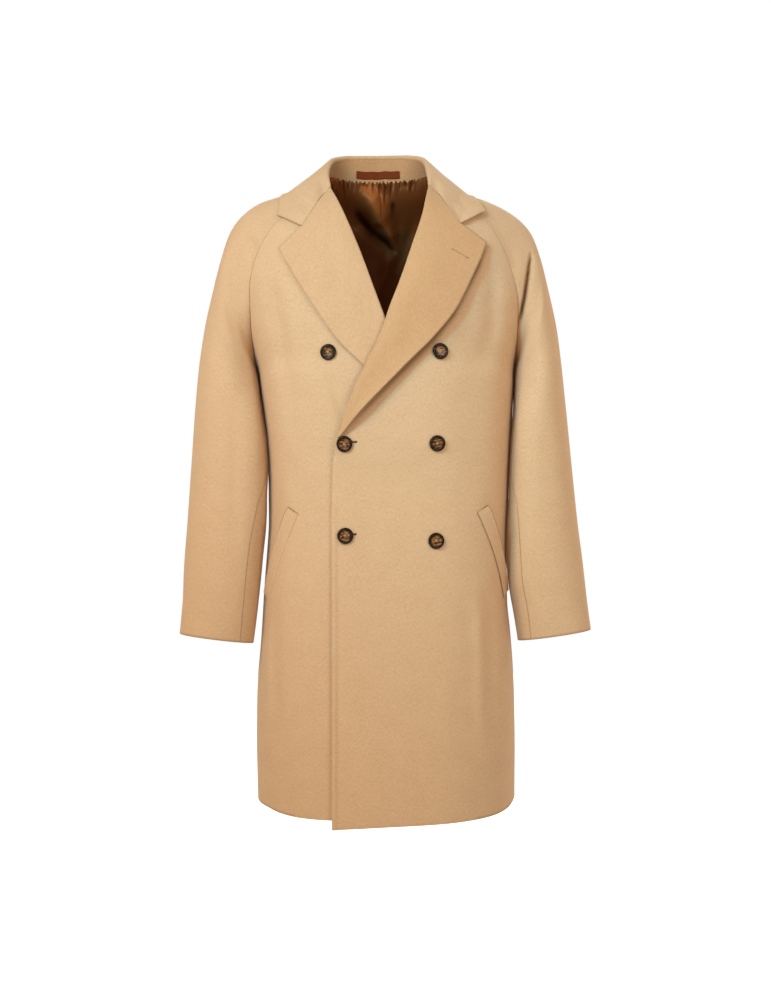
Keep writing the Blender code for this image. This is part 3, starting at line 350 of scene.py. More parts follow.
class Shade:
    """A socket in a finish or in a row of stitches, so that its pattern reads as plain sums."""

    def __init__(self, tree, socket=None):
        self.tree, self.socket = tree, socket

    def node(self, kind, sockets=None, output=0, **settings):
        made = self.tree.nodes.new(kind if "Node" in kind else "ShaderNode" + kind)
        for name, value in settings.items():
            setattr(made, name, value)
        self.fill(made, sockets or {})
        return Shade(self.tree, made.outputs[output])

    def fill(self, node, sockets):
        """Each socket takes a value that is the same all over, or another socket's pattern."""
        for name, value in sockets.items():
            if isinstance(value, Shade):
                self.tree.links.new(value.socket, node.inputs[name])
            else:
                node.inputs[name].default_value = value

    def noise(self, place, scale, detail=2.0, **more):
        return self.node("TexNoise", {"Vector": place, "Scale": scale, "Detail": detail, **more})

    def stretched(self, *scale):
        return self.node("Mapping", {"Vector": self, "Scale": scale})

    def ramp(self, low, high, first=0.0, last=1.0):
        """From first to last as this goes from low to high."""
        return self.node("MapRange", {"Value": self, "From Min": low, "From Max": high, "To Min": first,
                                      "To Max": last}, interpolation_type="SMOOTHSTEP")

    def bump(self, strength, distance=0.0003):
        return self.node("Bump", {"Height": self, "Strength": strength, "Distance": distance})

    def mixed(self, first, second):
        """One colour where this is 0 and the other where it is 1."""
        if not isinstance(first, Shade):
            first = (*first, 1)
        return self.node("Mix", {0: self, 6: first, 7: (*second, 1)}, 2, data_type="RGBA")

    def __add__(self, other):
        return self.node("Math", {0: self, 1: other}, operation="ADD")

    def __mul__(self, other):
        return self.node("Math", {0: self, 1: other}, operation="MULTIPLY")

    def __sub__(self, other):
        return self.node("Math", {0: self, 1: other}, operation="SUBTRACT")

    def __rsub__(self, other):
        return self.node("Math", {0: other, 1: self}, operation="SUBTRACT")

    __radd__, __rmul__ = __add__, __mul__


def finish(name, evenly):
    """A new finish with what is the same all over; gives its shader too, and a start for its pattern."""
    material = bpy.data.materials.new(name)
    material.use_nodes = True
    shader, shade = material.node_tree.nodes["Principled BSDF"], Shade(material.node_tree)
    shade.fill(shader, evenly)
    return material, shader, shade


def camel_wool(name, deep, pale):
    """Brushed wool: a short nap combed along the cloth over a fine twill, in slightly uneven camel."""
    material, shader, shade = finish(name, {
        "Sheen Weight": 0.25, "Sheen Roughness": 0.45, "Sheen Tint": (1.0, 0.86, 0.68, 1),
        "Specular IOR Level": 0.15})
    place = shade.node("TexCoord", output="UV")
    nap = shade.noise(place.stretched(900, 260, 1), 1.0, 3.0, Roughness=0.6)
    tuft = shade.noise(place, 210.0, Roughness=0.5)
    cloud = shade.noise(place, 34.0, 3.0, Roughness=0.55)
    twill = shade.node("TexWave", {"Vector": place, "Scale": 480.0, "Distortion": 1.2, "Detail": 1.0},
                       output=1, bands_direction="DIAGONAL")
    tone = nap * 1.9 + tuft * 0.6 + cloud * 0.4 + twill * 0.1 - 1.0
    # Mixed towards a dark tone where pressing darkens seams and edges and where shade is painted
    pressed_and_shade = shade.node("Attribute", output=2, attribute_name="pressed_and_shade") * PRESSED_AND_SHADE_SHARE
    height = nap * 0.55 + tuft * 0.30 + twill * 0.15
    shade.fill(shader, {"Base Color": pressed_and_shade.mixed(tone.mixed(deep, pale), PRESSED_AND_SHADE_TONE),
                        "Roughness": nap * 0.12 + 0.84, "Normal": height.bump(0.35, 0.0006)})
    return material


wool = camel_wool("brushed_camel_wool", (0.538, 0.327, 0.170), (0.700, 0.464, 0.270))


def sewn(piece, node, slot, **sheet):
    """A piece of cloth in its place on the coat, attached to the body, with its part from the model hidden;
    the size it was cut at is not used.
    """
    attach(piece, "root")
    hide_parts(node)


def wool_piece(node, shown, sign, edge_press_and_shade=1.0, deep=0.0, material=wool, **sheet):
    """A piece of the coat's wool, sewn in."""
    piece = cloth("cloth_" + node, shown, normals(shown, sign), WOOL, material, edge_press_and_shade, deep)
    sewn(piece, node, "camel_wool", **sheet)
    return piece


def front_grid(side):
    """From the front edge or roll line out to the side and raglan seams."""
    z = np.linspace(HEM_Z + WOOL / 2, FRONT_TOP_Z, PANEL_ROWS)
    edge_x = np.where(z < BREAK_Z, through(FRONT_EDGE[side], "x", z), through(ROLL[side], "x", z))
    edge_s = front_s(side, edge_x, z)[:, None]
    seam_s = 1 - SEAM_IN / through(FRONT, "end_pull", z)[:, None]
    s = edge_s + (seam_s - edge_s) * clustered(FRONT_COLUMNS, EDGE_IN, 1)
    return front_point(side, s, z[:, None])


# Painted shadow on the over front beside its lapel's outer edge: lines as for the folds, with how dark
UNDER_LAPEL_SHADOW = {
    LEFT: [
        [(0.164, -0.095, 0.0035, 0.7), (0.149, -0.1275, 0.0055, 1.6), (0.1085, -0.2045, 0.006, 1.6),
         (0.0775, -0.244, 0.006, 1.5), (0.021, -0.301, 0.005, 1.3), (-0.026, -0.3485, 0.004, 1),
         (-0.066, -0.392, 0.003, 0)]],
    RIGHT: []}
FRONT_CUT = {LEFT: dict(flat=(0.42, 1.02), area=0.30), RIGHT: dict(flat=(0.42, 1.01), area=0.29)}
panels = {}
for side, hand in HANDS:
    panel = panels["front_" + hand] = front_grid(side)
    # Only the seam half of a front's edges is darkened, by pressing and painted shade
    seam_half = np.arange(FRONT_COLUMNS) > FRONT_COLUMNS / 2
    wool_piece("front_" + hand, panel, side, seam_half, folds_on(UNDER_LAPEL_SHADOW[side], panel),
               held="hung", **FRONT_CUT[side])


# Back: one wide panel of the same wool from side seam to side seam and up to the neck, hanging straight from
# the shoulder blades in a few long soft folds.
BACK_TOP_Z, BACK_COLUMNS, BACK_IN = 0.025, 96, 0.0040
BACK = table("z depth edge_x edge_y turn start_pull end_pull", [
    (-0.963, 0.145, 0.206, 0.022, 90, 0.355, 0.235),
    (-0.8, 0.141, 0.208, 0.022, 90, 0.355, 0.228),
    (-0.62, 0.133, 0.1985, 0.022, 90, 0.345, 0.215),
    (-0.45, 0.124, 0.193, 0.022, 90, 0.335, 0.2),
    (-0.3, 0.128, 0.199, 0.022, 90, 0.34, 0.208),
    (-0.255, 0.131, 0.202, 0.045, 80, 0.335, 0.195),
    (-0.2, 0.133, 0.2, 0.076, 62, 0.31, 0.175),
    (-0.14, 0.13, 0.19, 0.092, 46, 0.265, 0.155),
    (-0.085, 0.123, 0.17, 0.096, 36, 0.215, 0.14),
    (-0.04, 0.114, 0.142, 0.09, 32, 0.17, 0.125),
    (0, 0.102, 0.104, 0.078, 32, 0.12, 0.095),
    (0.025, 0.09, 0.074, 0.064, 35, 0.085, 0.07)])
BACK_FOLDS = [
    [(0.16, -0.14, 0.011, 0), (0.15, -0.23, 0.013, -0.0075), (0.118, -0.36, 0.016, -0.0065),
     (0.1, -0.49, 0.018, 0)],
    [(-0.163, -0.15, 0.011, 0), (-0.154, -0.25, 0.013, -0.007), (-0.128, -0.39, 0.015, -0.0075),
     (-0.11, -0.53, 0.017, 0)],
    [(0.07, -0.46, 0.016, 0), (0.078, -0.64, 0.019, 0.006), (0.09, -0.96, 0.024, 0.009)],
    [(-0.052, -0.41, 0.015, 0), (-0.064, -0.62, 0.018, 0.0055), (-0.082, -0.96, 0.024, 0.0085)],
    [(0.01, -0.53, 0.018, 0), (0.006, -0.76, 0.021, -0.006), (0.004, -0.96, 0.026, -0.008)],
    [(0.14, -0.6, 0.012, 0), (0.147, -0.74, 0.014, -0.005), (0.15, -0.93, 0.017, -0.004)]]


def back_point(s, z):
    """A point on the back's outer face; s runs from the wearer's right seam at -1 to the left one at 1."""
    x, y = np.where(s > 0, half_section(BACK, 1, s, z, LEFT), half_section(BACK, 1, s, z, RIGHT))
    x = x + sway(z)
    return stack(x, y + folds(BACK_FOLDS, x, z) * (1 - smoothstep(*FOLDS_END, np.abs(s))), z)


back_z = np.linspace(HEM_Z + WOOL / 2, BACK_TOP_Z, PANEL_ROWS)
panels["back"] = back_point(clustered(BACK_COLUMNS, BACK_IN - 1, 1 - BACK_IN), back_z[:, None])
wool_piece("back", panels["back"], -1, held="hung", flat=(0.56, 1.01), area=0.50)


# Sleeves: each is two pieces of the wool, a front one and a back one, seamed over the shoulder and under the
# arm, and set into the raglan seams from the neck to the underarm. The cuffs are plain turned hems.
SLEEVE_ROWS, SLEEVE_FRONT_COLUMNS, SLEEVE_BACK_COLUMNS = 220, 110, 72
SLEEVE_HALF = {"front": (FRONT, "front_z", -1), "back": (BACK, "back_z", 1)}
CUFF_STATION, STATION_STEP = 15.97, 0.02
UNDER_SEAM = table("station drift", [
    (0, 0), (10.6, 0), (11.2, 0.07), (12, 0.19), (13, 0.22), (14, 0.232), (15, 0.232), (16, 0.228),
    (17, 0.228)])
TOP_IN = 0.0035
EASE_ROWS, EASE_IN, FOLD_IN = 6, 0.22, 0.05
SLEEVE_CORNER = table("station square", [
    (0, 0), (5, 0), (6, 0.002), (7, 0.005), (8, 0.007), (9, 0.007), (10, 0.006), (11, 0.004),
    (12, 0.002), (13, 0), (17, 0)])
CORNER_S, CORNER_REACH = 0.22, 0.11
SLEEVE = table("station front_z back_z gap inner_y top_x top_y top_z lift fold"
               " front_pull back_pull top_pull", [
    (0, -0.006, 0.025, 0, 0, 0.09, 0.006, 0.021, 40, 0, 0.055, 0.055, 0.065),
    (1, -0.03, 0, 0, 0, 0.125, 0.006, 0.008, 40, 0, 0.075, 0.075, 0.095),
    (2, -0.058, -0.03, 0, 0, 0.163, 0.006, -0.006, 40, 0, 0.085, 0.085, 0.115),
    (3, -0.09, -0.065, 0, 0, 0.198, 0.005, -0.0215, 40, 0, 0.095, 0.095, 0.13),
    (4, -0.125, -0.105, 0, 0, 0.2256, 0.004, -0.043, 38, 6, 0.1, 0.1, 0.14),
    (5, -0.16, -0.15, 0, 0, 0.2415, 0.002, -0.066, 32, 28, 0.11, 0.11, 0.155),
    (6, -0.205, -0.205, 0, 0, 0.254, 0, -0.104, 22, 85, 0.15, 0.14, 0.195),
    (7, -0.255, -0.255, 0, 0, 0.266, -0.003, -0.153, 10, 155, 0.27, 0.195, 0.245),
    (8, -0.3, -0.3, 0, 0, 0.279, -0.006, -0.212, 0, 180, 0.39, 0.25, 0.28),
    (9, -0.345, -0.345, 0.0012, -0.05, 0.288, -0.009, -0.27, 0, 176, 0.275, 0.359, 0.272),
    (10, -0.395, -0.395, -0.0005, -0.07, 0.295, -0.012, -0.335, 0, 170, 0.24, 0.367, 0.26),
    (11, -0.445, -0.445, -0.0005, -0.072, 0.3005, -0.015, -0.398, 0, 170, 0.24, 0.338, 0.25),
    (12, -0.5, -0.5, -0.0005, -0.072, 0.306, -0.018, -0.462, 0, 170, 0.235, 0.308, 0.24),
    (13, -0.555, -0.555, 0.0015, -0.072, 0.312, -0.022, -0.528, 0, 170, 0.228, 0.276, 0.228),
    (14, -0.61, -0.61, 0.004, -0.07, 0.319, -0.027, -0.59, 0, 170, 0.218, 0.241, 0.213),
    (15, -0.665, -0.665, 0.006, -0.066, 0.324, -0.032, -0.648, 0, 170, 0.204, 0.204, 0.196),
    (16, -0.712, -0.712, 0.009, -0.064, 0.328, -0.037, -0.696, 0, 170, 0.18, 0.18, 0.18)])
ARM = {
    LEFT: table("station out up inward", [
        (0, 0, -0.006, 0), (1, 0, -0.0085, 0), (2, 0, -0.003, 0), (3, 0, -0.004, 0), (4, 0, -0.003, 0),
        (6, 0, 0, 0), (8, -0.001, 0, 0), (9, -0.003, 0, 0.003), (10, -0.004, 0, 0.004),
        (12, -0.004, 0, 0.0042), (13, -0.004, 0, 0.006), (14, -0.004, 0, 0.0075),
        (15, -0.0035, 0, 0.0008), (16, -0.002, 0, 0.0015)]),
    RIGHT: table("station out up inward", [
        (0, 0, 0, 0), (1, 0, 0.001, 0), (2, 0, 0.0045, 0), (3, 0, 0.0075, 0), (4, 0.001, 0.006, 0),
        (6, 0.002, 0, 0), (8, 0.003, 0, 0), (9, 0.003, 0, 0.0035), (10, 0.0025, 0, 0.004),
        (12, 0.001, 0, 0.0016), (13, 0, 0, 0.0001), (14, -0.002, 0, 0.0014), (15, -0.0045, 0, 0.0008),
        (16, -0.004, 0, 0.0005)])}
SLEEVE_FOLDS = {
    (LEFT, "front"): [
        [(0.237, -0.098, 0.0022, 0), (0.2355, -0.11, 0.0026, -0.006), (0.232, -0.131, 0.0028, -0.011),
         (0.2253, -0.173, 0.003, -0.013), (0.2155, -0.209, 0.0028, -0.009)],
        [(0.246, -0.1, 0.008, 0), (0.242, -0.135, 0.009, 0.0025), (0.235, -0.18, 0.01, 0.003),
         (0.226, -0.225, 0.01, 0)],
        [(0.22, -0.09, 0.01, 0), (0.218, -0.135, 0.009, 0.0025), (0.213, -0.172, 0.006, 0)],
        [(0.246, -0.3, 0.014, 0), (0.252, -0.42, 0.018, -0.0025), (0.262, -0.56, 0.016, 0)]],
    (RIGHT, "front"): [
        [(-0.212, -0.062, 0.008, 0), (-0.205, -0.082, 0.01, -0.0045), (-0.197, -0.106, 0.009, -0.004),
         (-0.194, -0.126, 0.008, 0)],
        [(-0.226, -0.3, 0.012, 0), (-0.231, -0.4, 0.014, -0.003), (-0.232, -0.5, 0.014, -0.0028),
         (-0.236, -0.64, 0.012, 0)]],
    (LEFT, "back"): [
        [(0.214, -0.19, 0.01, 0), (0.24, -0.25, 0.014, -0.0045), (0.268, -0.3, 0.014, 0)],
        [(0.222, -0.43, 0.01, 0), (0.25, -0.452, 0.012, -0.004), (0.286, -0.462, 0.012, 0)],
        [(0.226, -0.49, 0.01, 0), (0.258, -0.5, 0.012, -0.0035), (0.29, -0.504, 0.012, 0)]],
    (RIGHT, "back"): [
        [(-0.212, -0.2, 0.01, 0), (-0.238, -0.262, 0.014, -0.0045), (-0.266, -0.316, 0.014, 0)],
        [(-0.22, -0.412, 0.01, 0), (-0.252, -0.44, 0.012, -0.0042), (-0.288, -0.452, 0.012, 0)],
        [(-0.228, -0.476, 0.01, 0), (-0.256, -0.496, 0.012, -0.003), (-0.292, -0.508, 0.012, 0)]]}
# Painted shade along the sharply folded crease of the wearer's left sleeve cap: lines as for the folds, with
# how dark
CAP_CREASE_SHADE = [
    [(0.2365, -0.099, 0.0016, 0), (0.235, -0.112, 0.0021, 1.5), (0.2315, -0.131, 0.0024, 1.7),
     (0.2248, -0.173, 0.0025, 1.7), (0.215, -0.209, 0.0023, 1.6), (0.2125, -0.226, 0.0018, 0.8)]]


def sleeve_line(side, station, part):
    """The line where the sleeve starts: the front or back raglan seam, then its inner line to the cuff."""
    tab, column, _ = SLEEVE_HALF[part]
    z = through(SLEEVE, column, station)
    x, y = seam_at(tab, side, z)
    x = x + through(SLEEVE, "gap", station) - through(ARM[side], "inward", station)
    return stack(side * x + sway(z), y + through(SLEEVE, "inner_y", station), z)


def sleeve_point(side, part, s, station):
    """A point on half a sleeve, s from 0 on its seam or inner line to 1 on the outer line."""
    s, station = np.broadcast_arrays(np.asarray(s, dtype=float), np.asarray(station, dtype=float))
    tab, column, facing = SLEEVE_HALF[part]
    seam = sleeve_line(side, station, part)
    down = unit(sleeve_line(side, station + STATION_STEP, part)
                - sleeve_line(side, station - STATION_STEP, part))
    turn = np.radians(through(tab, "turn", through(SLEEVE, column, station)))
    along = stack(side * np.cos(turn), -facing * np.sin(turn), np.zeros_like(turn))
    out = unit(np.cross(along, down)) * facing * side
    lift = np.radians(through(SLEEVE, "lift", station))[..., None]
    fold = np.radians(through(SLEEVE, "fold", station))[..., None]
    leave = np.cos(fold) * (np.cos(lift) * along - np.sin(lift) * down) + np.sin(fold) * out
    leave = leave * through(SLEEVE, part + "_pull", station)[..., None]
    nothing = np.zeros_like(station)
    top_x = through(SLEEVE, "top_x", station) + through(ARM[side], "out", station)
    top_z = through(SLEEVE, "top_z", station) + through(ARM[side], "up", station)
    top = stack(side * top_x, through(SLEEVE, "top_y", station), top_z)
    arrive = stack(nothing, -facing * through(SLEEVE, "top_pull", station), nothing)
    shape = hermite(seam, top, leave, arrive, s)
    if part == "front":
        near = np.exp(-((s - CORNER_S) / CORNER_REACH) ** 2)
        shape[..., 0] -= side * through(SLEEVE_CORNER, "square", station) * near
    return shape


def eased(grid, columns):
    """A sleeve piece with its run down the arm made smooth, except close to its seams."""
    reach = 3 * EASE_ROWS
    weight = np.exp(-(np.arange(-reach, reach + 1) / EASE_ROWS) ** 2 / 2)
    longer = np.concatenate([2 * grid[:1] - grid[reach:0:-1], grid,
                             2 * grid[-1:] - grid[-2:-reach - 2:-1]])
    smooth = sum(share * longer[row:row + len(grid)] for row, share in enumerate(weight / weight.sum()))
    return grid + (smooth - grid) * plateau(0, EASE_IN, 1 - EASE_IN, 1, columns)[:, None]


def creased(grid, sign, lines, columns):
    """A sleeve piece with its folds, which die out at its seams."""
    grid = eased(grid, columns)
    rise = folds_on(lines, grid) * plateau(0, FOLD_IN, 1 - FOLD_IN, 1, columns)
    return grid + normals(grid, sign) * rise[..., None]


sleeve_stations = np.linspace(0, CUFF_STATION, SLEEVE_ROWS)[:, None]
for side, hand in HANDS:
    columns = clustered(SLEEVE_FRONT_COLUMNS, EDGE_IN, 1 - TOP_IN)
    start = through(UNDER_SEAM, "drift", sleeve_stations)
    fore = sleeve_point(side, "front", start + (1 - start) * columns, sleeve_stations)
    panels["sleeve_front_" + hand] = creased(fore, -side, SLEEVE_FOLDS[side, "front"], columns)
    columns = clustered(SLEEVE_BACK_COLUMNS, TOP_IN, 1 - EDGE_IN)
    reach = columns * (1 + start)
    rear = np.where((reach > 1)[..., None],
                    sleeve_point(side, "front", np.maximum(reach - 1, 0), sleeve_stations),
                    sleeve_point(side, "back", 1 - np.minimum(reach, 1), sleeve_stations))
    panels["sleeve_back_" + hand] = creased(rear, -side, SLEEVE_FOLDS[side, "back"], columns)
    for node, cut in (("sleeve_front_" + hand, dict(flat=(0.24, 0.76), area=0.105)),
                      ("sleeve_back_" + hand, dict(flat=(0.26, 0.78), area=0.125))):
        # Painted shade along the cap crease of the wearer's left sleeve front
        deep = folds_on(CAP_CREASE_SHADE, panels[node]) if node == "sleeve_front_left" else 0.0
        wool_piece(node, panels[node], -side, deep=deep, held="hung", **cut)


# Lapels: the facing of each front, turned back on the roll line round a soft edge and out over the front to
# its point. The one on the wearer's left curls off the front along its lower edge.
LAPEL_ROLL = {LEFT: 0.0042, RIGHT: 0.0033}
LAPEL_EDGE_LIFT = {LEFT: 0.0080, RIGHT: 0.0045}
LAPEL_FLATTENING, LAPEL_FLATTENS_FROM, LAPEL_END = 0.55, 0.78, 0.002
LAPEL_BULGE, BULGE_AT = {LEFT: 0.070, RIGHT: 0.030}, 0.26
BULGE_DOWN = {LEFT: (0.02, 0.35, 0.85, 1.0), RIGHT: (0.02, 0.25, 0.35, 0.55)}
# The gorge seam is drawn in this far. Turned edges are darkened by pressing and painted shade, the over
# lapel's much more than the under lapel's and the collar's
SEAM_DRAW, TURNED_EDGE_PRESS_AND_SHADE = 0.0016, {LEFT: 0.9, RIGHT: 0.35}
LAPEL_ROWS, SLOPE_STEP = 120, 0.001
LAPEL_CURL = {
    LEFT: table("down rise", [
        (0, 0.002), (0.18, 0.005), (0.45, 0.005), (0.7, 0.007), (0.84, 0.009), (0.94, 0.005), (1, 0)]),
    RIGHT: table("down rise", [(0, 0), (0.5, 0.0005), (1, 0)])}
BEND_ANGLES = np.radians(np.linspace(-90, 78, 13))
CORNER, CORNER_AT = 24, 0.63
ACROSS = np.concatenate([np.linspace(0, CORNER_AT, CORNER + 1), np.linspace(CORNER_AT, 0.992, 17)[1:]])
GORGE = np.s_[:len(BEND_ANGLES) + CORNER + 1]
LAPEL_EDGE = {
    LEFT: table("station x z", [
        (0, 0.1614, -0.0943), (1, 0.1467, -0.1265), (2, 0.1063, -0.2034), (3, 0.075, -0.2425),
        (4, 0.0187, -0.2993), (5, -0.0281, -0.3465), (6, -0.066, -0.391)]),
    RIGHT: table("station x z", [
        (0, -0.1579, -0.0974), (1, -0.1312, -0.1454), (2, -0.1002, -0.1942), (3, -0.0668, -0.2425),
        (4, -0.0275, -0.2825), (5, 0.022, -0.337), (6, 0.07, -0.391)])}
NOTCH = {LEFT: (0.1214, -0.0625), RIGHT: (-0.1211, -0.0620)}
COLLAR_TIP = {LEFT: (0.1620, -0.0410), RIGHT: (-0.1610, -0.0410)}


def front_at(side, x, z):
    """The point of a front's outer face straight behind x, z in a front view, with its outward normal."""
    def face(x, z):
        return front_point(side, front_s(side, x, z), z)[..., 1]

    slope_x = (face(x + SLOPE_STEP, z) - face(x - SLOPE_STEP, z)) / (2 * SLOPE_STEP)
    slope_z = (face(x, z + SLOPE_STEP) - face(x, z - SLOPE_STEP)) / (2 * SLOPE_STEP)
    return stack(x, face(x, z), z), unit(stack(slope_x, -np.ones_like(slope_x), slope_z))


def bent_line(start, corner, end):
    """Points along two straight stretches that meet at a corner, in a front view."""
    start, corner, end = (np.asarray(place) for place in (start, corner, end))
    before = start + (corner - start) * (ACROSS / CORNER_AT)[:, None]
    after = corner + (end - corner) * ((ACROSS - CORNER_AT) / (1 - CORNER_AT))[:, None]
    return np.where((ACROSS < CORNER_AT)[:, None], before, after)


def turned_edge(line, toward, face_out, radius):
    """Columns of a soft turned edge along a line, from under it round to its shown side."""
    tangent = unit(np.gradient(line, axis=0))
    lifted = unit(face_out - tangent * np.sum(face_out * tangent, axis=-1, keepdims=True))
    inward = np.cross(tangent, lifted)
    inward = inward * np.sign(np.sum(inward * toward, axis=-1, keepdims=True))
    radius = np.broadcast_to(radius, line.shape[:1])[:, None]
    columns = [line - inward * radius * math.cos(angle) + lifted * (radius * (1 + math.sin(angle)) - WOOL)
               for angle in BEND_ANGLES]
    return np.stack(columns, axis=1)


def lapel_grid(side):
    """From under the roll line, round it and across to the lapel's outer edge."""
    roll_z = np.linspace(GORGE_Z, BREAK_Z + LAPEL_END, LAPEL_ROWS)
    down = (GORGE_Z - roll_z) / (GORGE_Z - BREAK_Z)
    roll = stack(through(ROLL[side], "x", roll_z), roll_z)
    station = down * LAPEL_EDGE[side]["station"][-1]
    edge = stack(through(LAPEL_EDGE[side], "x", station), through(LAPEL_EDGE[side], "z", station))
    across = ACROSS[None, :, None]
    flat = roll[:, None] * (1 - across) + edge[:, None] * across
    top = bent_line(roll[0], NOTCH[side], edge[0])
    flat += ((1 - down) ** 2)[:, None, None] * (top - flat[0])
    on_front, face_out = front_at(side, flat[..., 0], flat[..., 1])
    flatter = 1 - LAPEL_FLATTENING * smoothstep(LAPEL_FLATTENS_FROM, 1, down)
    radius = LAPEL_ROLL[side] * flatter
    edge_lift = LAPEL_EDGE_LIFT[side] * flatter
    curl = through(LAPEL_CURL[side], "rise", down)[:, None] * ACROSS ** 3
    width = np.linalg.norm(edge - roll, axis=-1) * plateau(*BULGE_DOWN[side], down)
    bulge = LAPEL_BULGE[side] * width[:, None] * ACROSS / BULGE_AT * np.exp(1 - ACROSS / BULGE_AT)
    lift = (2 * radius - WOOL)[:, None] * (1 - ACROSS) + edge_lift[:, None] * ACROSS + curl + bulge
    shown = on_front + face_out * lift[..., None]
    bend = turned_edge(on_front[:, 0], on_front[:, -1] - on_front[:, 0], face_out[:, 0], radius)
    return np.concatenate([bend, shown], axis=1)


def drawn_in(grid):
    """A piece whose first row is drawn back from the gorge seam, so that the seam lies in a groove."""
    drawn = grid.copy()
    drawn[0, GORGE] += unit(grid[1, GORGE] - grid[0, GORGE]) * SEAM_DRAW
    return drawn


# The lapels' wool is the camel wool painted deeper as shade, the over lapel's more than the under lapel's
SHADED_LAPEL_WOOL = {LEFT: camel_wool("over_lapel_shaded_wool", (0.470, 0.253, 0.113), (0.614, 0.359, 0.180)),
              RIGHT: camel_wool("under_lapel_shaded_wool", (0.518, 0.302, 0.150), (0.676, 0.428, 0.238))}
lapels = {side: lapel_grid(side) for side, hand in HANDS}
lapel_pieces = {
    side: wool_piece("lapel_" + hand, drawn_in(lapels[side]), -side, TURNED_EDGE_PRESS_AND_SHADE[side],
                     material=SHADED_LAPEL_WOOL[side], held="folded", flat=(0.16, 0.42), area=0.036)
    for side, hand in HANDS}


# Collar fall: cut in one with its ends sewn to the lapels at the gorge, it turns over at the fold and lies
# round the shoulders to two tips in front.
COLLAR_ROLL, COLLAR_CROWN, COLLAR_CLEARANCE, COLLAR_SHIFT = 0.0046, 0.12, 0.0030, -0.004
COLLAR_SAG, COLLAR_SAG_STATIONS = {LEFT: 0.0070, RIGHT: 0.0}, (0.8, 1.6, 2.2, 3.4)
COLLAR_SETTLED, OUTWARD_RISE = 1.5, 0.15
COLLAR_STATIONS = np.linspace(0, 5, 71)
COLLAR = table("station fold_x fold_y fold_z edge_x edge_y edge_z base_x base_y base_z", [
    (0, 0.08, -0.047, 0.004, 0.162, -0.064, -0.041, 0.08, -0.042, -0.006),
    (1, 0.0812, -0.018, 0.024, 0.157, -0.032, -0.015, 0.0825, -0.022, 0.006),
    (2, 0.08, 0.015, 0.042, 0.149, 0.006, 0.001, 0.085, 0.008, 0.019),
    (3, 0.071, 0.056, 0.063, 0.126, 0.066, 0, 0.0715, 0.054, 0.0225),
    (4, 0.042, 0.079, 0.0715, 0.072, 0.102, -0.006, 0.04, 0.076, 0.022),
    (5, 0, 0.086, 0.0725, 0, 0.113, -0.01, 0, 0.084, 0.0215)])

# The panels' outer faces, which the collar, buttonholes and buttons lie on
ground_points, ground_faces = [], []
for grid in panels.values():
    index = len(ground_points) + np.arange(grid.shape[0] * grid.shape[1]).reshape(grid.shape[:2])
    ground_faces += quads(index).tolist()
    ground_points += grid.reshape(-1, 3).tolist()
ground = BVHTree.FromPolygons(ground_points, ground_faces)


def behind(tree, x, z):
    """The first place straight behind x, z in a front view, and its normal."""
    return tree.ray_cast(Vector((x, -1, z)), Vector((0, 1, 0)))[:2]


def collar_line(line, side, stations):
    """A line of the collar, which leans a little to the wearer's right above its base."""
    shift = 0 if line == "base" else COLLAR_SHIFT * smoothstep(0, COLLAR_SETTLED, stations)
    x, y, z = (through(COLLAR, line + axis, stations) for axis in ("_x", "_y", "_z"))
    return stack(side * x + shift, y, z)


def collar_edge(side, stations):
    """The collar's outer edge, which sinks lower on the wearer's left shoulder."""
    sag = COLLAR_SAG[side] * plateau(*COLLAR_SAG_STATIONS, stations)
    return collar_line("edge", side, stations) - stack(0.0, 0.0, sag)


def round_the_neck(half):
    """The rows of one half, front end first, then those of the other half back to its front end."""
    return np.concatenate([half(LEFT), half(RIGHT)[-2::-1]])


def collar_end(side, lift):
    """The collar's front end: down the gorge seam to the notch, then out to the tip, lying on the coat."""
    flat = bent_line((through(ROLL[side], "x", GORGE_Z), GORGE_Z), NOTCH[side], COLLAR_TIP[side])
    on_front, face_out = front_at(side, flat[:, 0], flat[:, 1])
    for row in np.flatnonzero(ACROSS > CORNER_AT):
        place, normal = behind(ground, *flat[row])
        on_front[row], face_out[row] = place, normal * math.copysign(1, -normal.y)
    return on_front + face_out * lift[:, None]


def clear_of(points, clearance):
    """The points moved out where they lie closer than the clearance to the coat under them."""
    moved = []
    for point in points.reshape(-1, 3):
        place, face_out = ground.find_nearest(Vector(point))[:2]
        if face_out.dot(Vector((place.x, place.y, OUTWARD_RISE))) < 0:
            face_out = -face_out
        short = clearance - (Vector(point) - place).dot(face_out)
        moved.append(Vector(point) + face_out * max(short, 0))
    return np.array(moved).reshape(points.shape)


